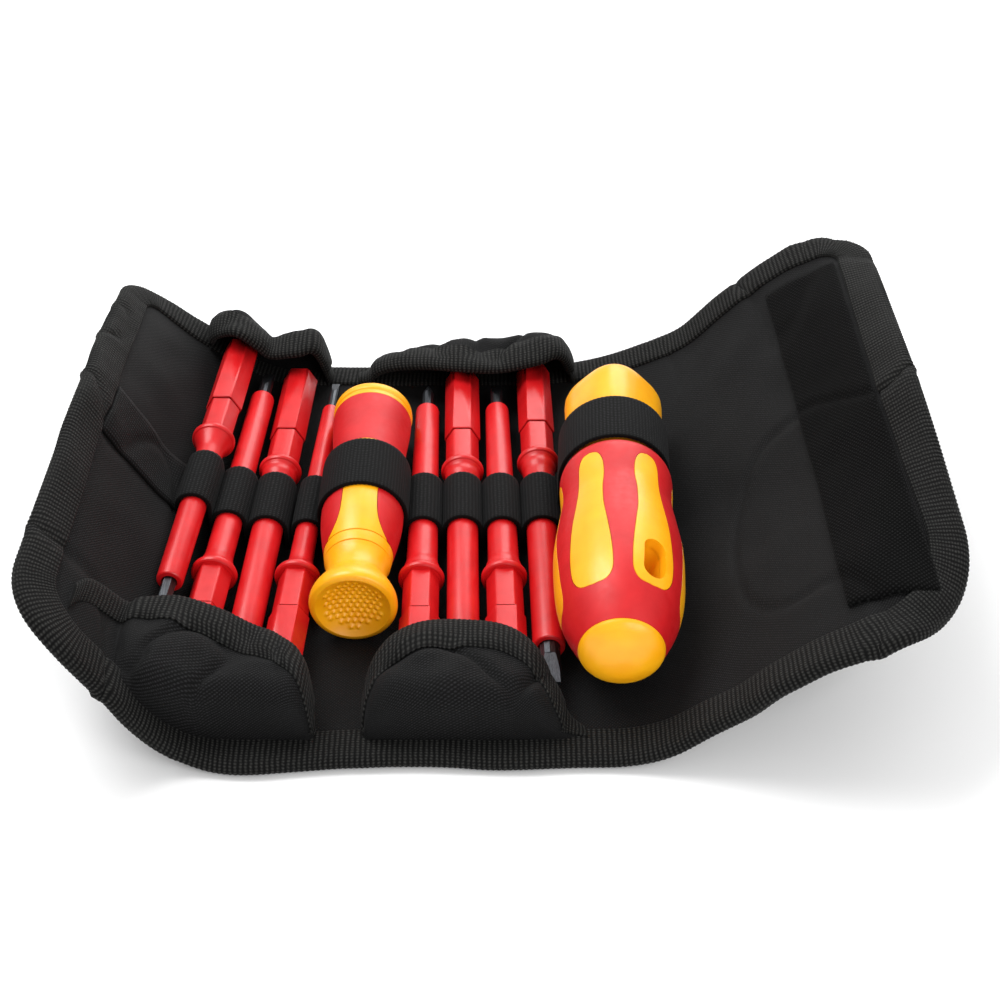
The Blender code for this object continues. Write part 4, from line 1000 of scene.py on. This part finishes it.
def bound(name, surface, edge, section):
    """Folds tape over an edge: a list of (place, inward) pairs, both in the surface's own two distances."""
    widths = [0.0]
    for (d, h), (e, k) in zip(section, section[1:]):
        widths.append(widths[-1] + math.hypot(e - d, k - h))
    ends = [surface(*place) for place, _ in edge]
    run = [0.0]
    for p, q in zip(ends, ends[1:]):
        run.append(run[-1] + (q - p).length)
    rows = []
    for (place, inward), length in zip(edge, run):
        place, inward = Vector(place), Vector(inward)
        at_edge, inside = surface(*place), surface(*(place + inward))
        out = (at_edge - inside).normalized()
        rib = RIB_HEIGHT * math.cos(2 * math.pi * length / RIB_PITCH)
        step = SHARE_STEP if abs(inward.y) < 0.1 and abs(inward.x) < 0.1 else MM_STEP
        row = []
        for d, h in section:
            spot = place + inward * max(d, 0.0)
            normal = normal_of(surface, *spot, step)
            height = h + math.copysign(rib, h) if abs(h) > RIBBED_ABOVE else h
            row.append(surface(*spot) + normal * height + out * (max(-d, 0.0) + (rib if d < 0 else 0.0)))
        rows.append(row)
    return grid_piece(
        name,
        len(edge) - 1,
        len(section),
        lambda i, j: rows[i][j % len(section)],
        lambda i, j: (run[i], widths[min(j, len(section) - 1)]),
        TAPE,
        tube=True,
    )


def edge_to_corner(side, part):
    """From the seam along the front (part -1) or back edge, round the corner, to the middle of the outer end."""
    radius = CORNERS[side, part]
    straight, long_side = REACH[side] - radius, HALF_DEPTH - radius
    edge = [((side * k * TAPE_STEP, part * HALF_DEPTH), (0, -part)) for k in range(int(straight / TAPE_STEP))]
    arc = int(radius * math.pi / 2 / TAPE_STEP)
    for k in range(arc):
        turn = math.pi / 2 * k / arc
        across, along = math.sin(turn), math.cos(turn)
        place = (side * (straight + radius * across), part * (long_side + radius * along))
        edge.append((place, (-side * across, -part * along)))
    steps = int(long_side / TAPE_STEP)
    return edge + [((side * REACH[side], part * long_side * (1 - k / steps)), (-side, 0)) for k in range(steps)]


for side, word in ((-1, "left"), (1, "right")):
    edge = edge_to_corner(side, -1) + edge_to_corner(side, 1)[::-1]
    tape = bound(f"edge_binding_{word}", sheet, edge, TAPE_SECTION)
    end_name = "front" if side < 0 else "back"
    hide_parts(f"{word}_panel_binding", f"{end_name}_edge_binding")
    fold_blend(tape)
    print(tape.name, "faces:", len(tape.data.polygons))

# %% [markdown]
# ## Fastener tape and the webbing's tail
#
# A strip of looped fastener tape is sewn near the edge of the wide cover, and its hooked mate is under the
# floor. The webbing starts as a flat tail on the left cover. Each is a thin slab laid on the sheet.


# %% Slabs laid on the sheet
SLAB_COLUMN, SLAB_ROW, SLAB_EDGE = 1.0, 1.6, 1.2  # its grid, and how far its border is pressed down


def laid(name, a_low, a_high, y_low, y_high, thickness, finish):
    """A thin closed slab on the upper side of the cloth."""
    columns = max(2, round(abs(a_high - a_low) / SLAB_COLUMN))
    rows = max(2, round((y_high - y_low) / SLAB_ROW))

    def point(i, j):
        share_a, share_y = i / columns, j / rows
        a, y = a_low + (a_high - a_low) * share_a, y_low + (y_high - y_low) * share_y
        border = min(share_a, 1 - share_a) * abs(a_high - a_low)
        border = min(border, min(share_y, 1 - share_y) * (y_high - y_low))
        height = CLOTH / 2 + thickness * (0.25 + 0.25 * eased(border / SLAB_EDGE))
        return sheet(a, y) + normal_of(bare_sheet, a, y) * height

    def flat(i, j):
        return (y_high - y_low) * j / rows, abs(a_high - a_low) * i / columns

    obj = grid_piece(name, columns, rows, point, flat, finish)
    return thickened(obj, thickness)


CLOSURE_WIDTH, CLOSURE_INSIDE, CLOSURE_HALF = 23.0, 11.0, 70.0
TAIL_Y, TAIL_HALF = WEBBING_Y + 2, 10.5
closure = laid(
    "closure_loop_strip",
    REACH[1] - CLOSURE_INSIDE - CLOSURE_WIDTH,
    REACH[1] - CLOSURE_INSIDE,
    -CLOSURE_HALF,
    CLOSURE_HALF,
    1.3,
    FASTENER,
)
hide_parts("loop_strip")
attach(closure, "right_cover")

tail = laid(
    "webbing_tail_strip", -(REACH[-1] - 10.0), -79.0, TAIL_Y - TAIL_HALF, TAIL_Y + TAIL_HALF, 1.1, ELASTIC
)
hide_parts("webbing_tail")
fold_blend(tail)

low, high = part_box("hook_strip")
bm = bmesh.new()
bmesh.ops.create_cube(bm, size=1)
bmesh.ops.scale(bm, vec=(high.x - low.x, high.y - low.y, 1.0 * MM), verts=bm.verts)
bmesh.ops.translate(bm, vec=((high.x + low.x) / 2, 0, 0.5 * MM + 0.02 * MM), verts=bm.verts)
bmesh.ops.bevel(bm, geom=bm.edges, offset=0.35 * MM, affect="EDGES", segments=3, profile=0.5, material=-1)
layer = bm.loops.layers.uv.new("cloth")
for face in bm.faces:
    for loop in face.loops:
        loop[layer].uv = (loop.vert.co.y, loop.vert.co.x)
hook = piece("closure_hook_strip", bm, FASTENER, "pouch", None, ["hook_strip"])
print("strips:", closure.name, tail.name, hook.name)

# %% [markdown]
# ## Elastic loops
#
# One elastic band crosses the pouch and is sewn down between the tools, so it makes an arch over each. The
# band's width bulges a little in the middle, its edges grip, and its selvedge is faintly toothed. An arch is
# a grid bent round the tool's axis, with two legs down to the cloth.

# %% Loops
LOOP_WIDTH, LOOP_THICKNESS, LOOP_SLACK = 20.0, 1.05, 0.3
LOOP_STEP = 0.4
SELVEDGE_PITCH, SELVEDGE_DEPTH = 1.2, 0.16

# name: radius of the tool under the webbing, from left to right
HELD_RADII = {
    "blade_1": 3.76, "blade_2": 3.82, "blade_3": 4.39, "blade_4": 3.12, "small_handle": 11.35,
    "blade_5": 4.12, "blade_6": 4.39, "blade_7": 4.12, "blade_8": 4.38, "big_handle": 14.4,
}
HANDLES = {"small_handle": (SMALL_X, SMALL_Z, 0.0), "big_handle": (BIG_X, BIG_Z, BIG_SPLAY)}  # x, z, splay
BIG_LOOP_Y, BIG_LOOP_WIDTH = 11.2, 18.4
LOOP_ROWS = 26
LOOP_BULGE, BULGE_RADIUS = 0.03, 4.5  # a band round a tool of this radius bulges by this share


def loop_line(radius, drop_left, drop_right):
    """The band's line across a tool: a leg, an arch and a leg, with even steps. It runs from left to right."""
    start = (-radius, -drop_left)
    line = [Vector(start)]
    for k in range(1, max(2, int(drop_left / LOOP_STEP))):
        line.append(Vector((-radius, -drop_left + k * LOOP_STEP)))
    turns = int(math.pi * radius / LOOP_STEP)
    for k in range(turns + 1):
        turn = math.pi * (1 - k / turns)
        line.append(Vector((radius * math.cos(turn), radius * math.sin(turn))))
    for k in range(1, max(2, int(drop_right / LOOP_STEP))):
        line.append(Vector((radius, -k * LOOP_STEP)))
    return line + [Vector((radius, -drop_right))]


for name, radius in HELD_RADII.items():
    x, z, splay = HANDLES[name] if name in HANDLES else (BLADES[name][0], BLADES[name][1], BLADES[name][3])
    y, width = (BIG_LOOP_Y, BIG_LOOP_WIDTH) if name == "big_handle" else (WEBBING_Y, LOOP_WIDTH)
    middle = radius + LOOP_SLACK + LOOP_THICKNESS / 2
    drops = [z - cloth_top(x + side * middle, y) - 0.2 for side in (-1, 1)]
    line = loop_line(middle, *drops)
    lean = math.tan(math.radians(splay))

    def band_point(i, j):
        share = j / LOOP_ROWS * 2 - 1
        flat_x, height = line[i]
        bulge = 1 + LOOP_BULGE * (1 - share * share) * (BULGE_RADIUS / middle)
        tooth = SELVEDGE_DEPTH * math.sin(2 * math.pi * i * LOOP_STEP / SELVEDGE_PITCH) * (abs(share) > 0.99)
        off = share * width / 2 + math.copysign(tooth, share)
        lift = bulge if height > 0 else 1.0
        return Vector((x + flat_x * bulge + lean * off, y + off, z + height * lift))

    band = grid_piece(
        name + "_elastic_loop",
        len(line) - 1,
        LOOP_ROWS,
        band_point,
        lambda i, j: (i * LOOP_STEP, j / LOOP_ROWS * width),
        ELASTIC,
    )
    thickened(band, LOOP_THICKNESS)
    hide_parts(name + "_loop")
    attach(band, "pouch")
print("loops:", len(HELD_RADII))

# %% [markdown]
# ## End hoods
#
# At each end of the pouch, two pieces of the same cloth are sewn into the bound edge and lie loosely over the
# blades' ends. Their mouths are bound in the same ribbed tape. A hood is a grid drawn over a row of stations:
# how far its mouth reaches at that x, and how high it stands. Between root and mouth it swells, and it is
# creased where the cloth is gathered into the seam, which coherent noise makes from its own zero lines. The
# front left hood is also sewn to the pouch's rising edge, so its outer corner is a piece of its own that
# stays with that edge.

# %% Stations of the hoods
# side of the pouch, then x, reach from the pouch's edge, height of the cloth over the floor (None: down on the cloth)
HOODS = {
    "front_left": (
        -1,
        (
            (-87.5, 22, None), (-85.5, 28, 26.5), (-80.0, 32, 25.6), (-73.0, 35, 24.2), (-66.0, 36.5, 23.0),
            (-56.0, 34.5, 20.6), (-48.0, 31, 18.8), (-40.5, 27, 18.6), (-34.0, 20, 17.4), (-30.6, 11, None),
        ),
    ),
    "front_centre": (
        -1,
        (
            (-18.0, 11, None), (-16.2, 20, 12.5), (-12.0, 27, 17.2), (-4.5, 32, 18.0), (6.0, 33, 18.0),
            (17.0, 31, 18.0), (24.0, 26, 16.4), (29.0, 18.5, 10.8), (33.5, 12.5, 5.2), (37.5, 8.5, None),
        ),
    ),
    "back_left": (
        1,
        (
            (-77.0, 9, None), (-73.5, 14, 25.0), (-66.3, 19, 29.2), (-60.5, 18, 24.0), (-56.5, 17, 19.6),
            (-48.0, 18, 21.0), (-42.5, 15, 19.4), (-39.0, 8, None),
        ),
    ),
    "back_centre": (
        1,
        (
            (-30.0, 8, None), (-20.0, 14, 12.5), (-9.0, 18, 16.2), (4.5, 23, 18.6), (15.5, 22, 17.6),
            (27.5, 21, 19.6), (35.0, 16, 18.4), (40.5, 9, None),
        ),
    ),
}
HOOD_CLOTH = 1.3
HOOD_ROOTS = {-1: 79.6, 1: 83.2}  # from the middle of the pouch to the front and back seams
HOOD_BEND = 5.5  # radius where the cloth turns from the blades' ends to lie over them
HOOD_HINGE = 85.9
FIXED_BEYOND = -78.0  # left of this x, a hood is sewn to the rising edge and stays with it
HOOD_COLUMNS, HOOD_ROWS = 96, 34
COLUMN_MM, ROW_MM = 0.62, 1.35  # how much cloth a column and a row stand for in the weave
MOUTH_STEPS = 330  # of tape along a whole mouth
SWELL_X, SWELL_Y, SWELL_HEIGHT, SWELL_LIFT = 15, 19, 2.2, 1.2  # loose hollows and hills over the blades' ends
PLEAT_DEPTH, PLEAT_NARROWNESS = 1.8, 7
SEAM_RISE, LYING_RISE = 0.2, 0.9  # over the pouch's cloth, at the seam and where a hood comes down on it
HOOD_TAPE_SECTION = (
    (8.2, 0.75), (8.0, 1.25), (5.5, 1.45), (2.5, 1.5), (0.6, 1.4), (-0.5, 0.95), (-1.0, 0.0), (-0.5, -0.95),
    (0.6, -1.35), (3.0, -1.35), (4.6, -1.2), (4.7, -0.75),
)


# %% Make the hoods
def station_curve(side, stations):
    """The stations as a smooth line, with the cloth's own height where a hood comes down on it."""
    full = []
    for x, reach, height in stations:
        y = side * (HOOD_HINGE - reach)
        full.append((x, reach, cloth_top(x, y) + 0.5 if height is None else height))
    return curve_through(full, 12)


for name, (side, stations) in HOODS.items():
    curve = station_curve(side, stations)
    seed = len(name) * 3.7 + side
    root = HOOD_ROOTS[side]

    def hood_at(u, w):
        """A point on the hood: u from 0 to 1 along its mouth, w from 0 at the seam to 1 at the mouth."""
        place = u * (len(curve) - 1)
        k = min(int(place), len(curve) - 2)
        x, reach, height = curve[k].lerp(curve[k + 1], place - k)
        run = reach - (HOOD_HINGE - root)
        base, under = cloth_top(x, side * root) + SEAM_RISE, cloth_top(x, side * (root - run))
        rise = max(height - base, 0.1)
        bend = min(HOOD_BEND, rise, run)
        wall, arc = rise - bend, bend * math.pi / 2
        gone = w * (wall + arc + run - bend)
        if gone < wall:
            inward, up = 0.0, gone
        elif gone < wall + arc:
            turn = (gone - wall) / bend
            inward, up = bend * (1 - math.cos(turn)), wall + bend * math.sin(turn)
        else:
            inward, up = bend + gone - wall - arc, rise
        lying = Vector((x, side * (root - run * w), base + (under + LYING_RISE - base) * w))
        standing = Vector((x, side * (root - inward), base + up))
        loose = eased(w / 0.25) * eased((1.03 - w) / 0.25) * eased(u / 0.1) * eased((1 - u) / 0.1)
        spot = Vector((x / SWELL_X, standing.y / SWELL_Y, seed))
        puff = noise.noise(spot) * SWELL_HEIGHT + noise.noise(spot * 2.3) * 0.9
        zero_line = abs(noise.noise(spot * 0.8 + Vector((2.0, 5.0, 1.0))))
        pleat = -PLEAT_DEPTH * max(0.0, 1 - zero_line * PLEAT_NARROWNESS)
        standing.z += (puff + pleat + SWELL_LIFT) * loose
        standing.y += side * max(puff, -0.6) * loose * eased((wall + arc - gone) / 6) * 0.8
        return lying.lerp(standing, eased((height - under) / 7))

    table = [
        [hood_at(i / HOOD_COLUMNS, j / HOOD_ROWS) for j in range(HOOD_ROWS + 1)] for i in range(HOOD_COLUMNS + 1)
    ]

    def hood(u, w):
        """The same surface, read off the table, and run on straight past its edges."""
        across, along = u * HOOD_COLUMNS, w * HOOD_ROWS
        i, j = min(max(int(across), 0), HOOD_COLUMNS - 1), min(max(int(along), 0), HOOD_ROWS - 1)
        near = table[i][j].lerp(table[i][j + 1], along - j)
        return near.lerp(table[i + 1][j].lerp(table[i + 1][j + 1], along - j), across - i)

    seam = next((k / (len(curve) - 1) for k, spot in enumerate(curve) if spot.x > FIXED_BEYOND), 0.0)
    spans = {"hood": (seam, 1.0)} if seam < 0.03 else {"corner": (0.0, seam), "hood": (seam, 1.0)}
    for part, (low, high) in spans.items():
        first, last = round(low * HOOD_COLUMNS), round(high * HOOD_COLUMNS)
        cloth = grid_piece(
            f"{name}_{part}_cloth",
            last - first,
            HOOD_ROWS,
            lambda i, j: table[first + i][j],
            lambda i, j: ((first + i) * COLUMN_MM, j * ROW_MM),
            WOVEN,
        )
        thickened(cloth, HOOD_CLOTH)
        mouth = []
        steps = round(MOUTH_STEPS * (last - first) / HOOD_COLUMNS)
        for k in range(steps + 1):
            u = (first + (last - first) * k / steps) / HOOD_COLUMNS
            reach = (hood(u, 1) - hood(u, 0)).length
            mouth.append(((u, 1.0), (0.0, -1 / max(reach, 10.0))))
        tape = bound(f"{name}_{part}_binding", hood, mouth, HOOD_TAPE_SECTION)
        if part == "corner":
            fold_blend(cloth)
            fold_blend(tape)
            continue
        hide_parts(name + "_flap")
        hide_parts(name + "_flap_binding")
        for made in (cloth, tape):
            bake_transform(made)
print("hoods:", len(HOODS))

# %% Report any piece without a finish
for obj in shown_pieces():
    if obj.type == "MESH" and not obj.data.materials:
        print("no finish on", obj.name)
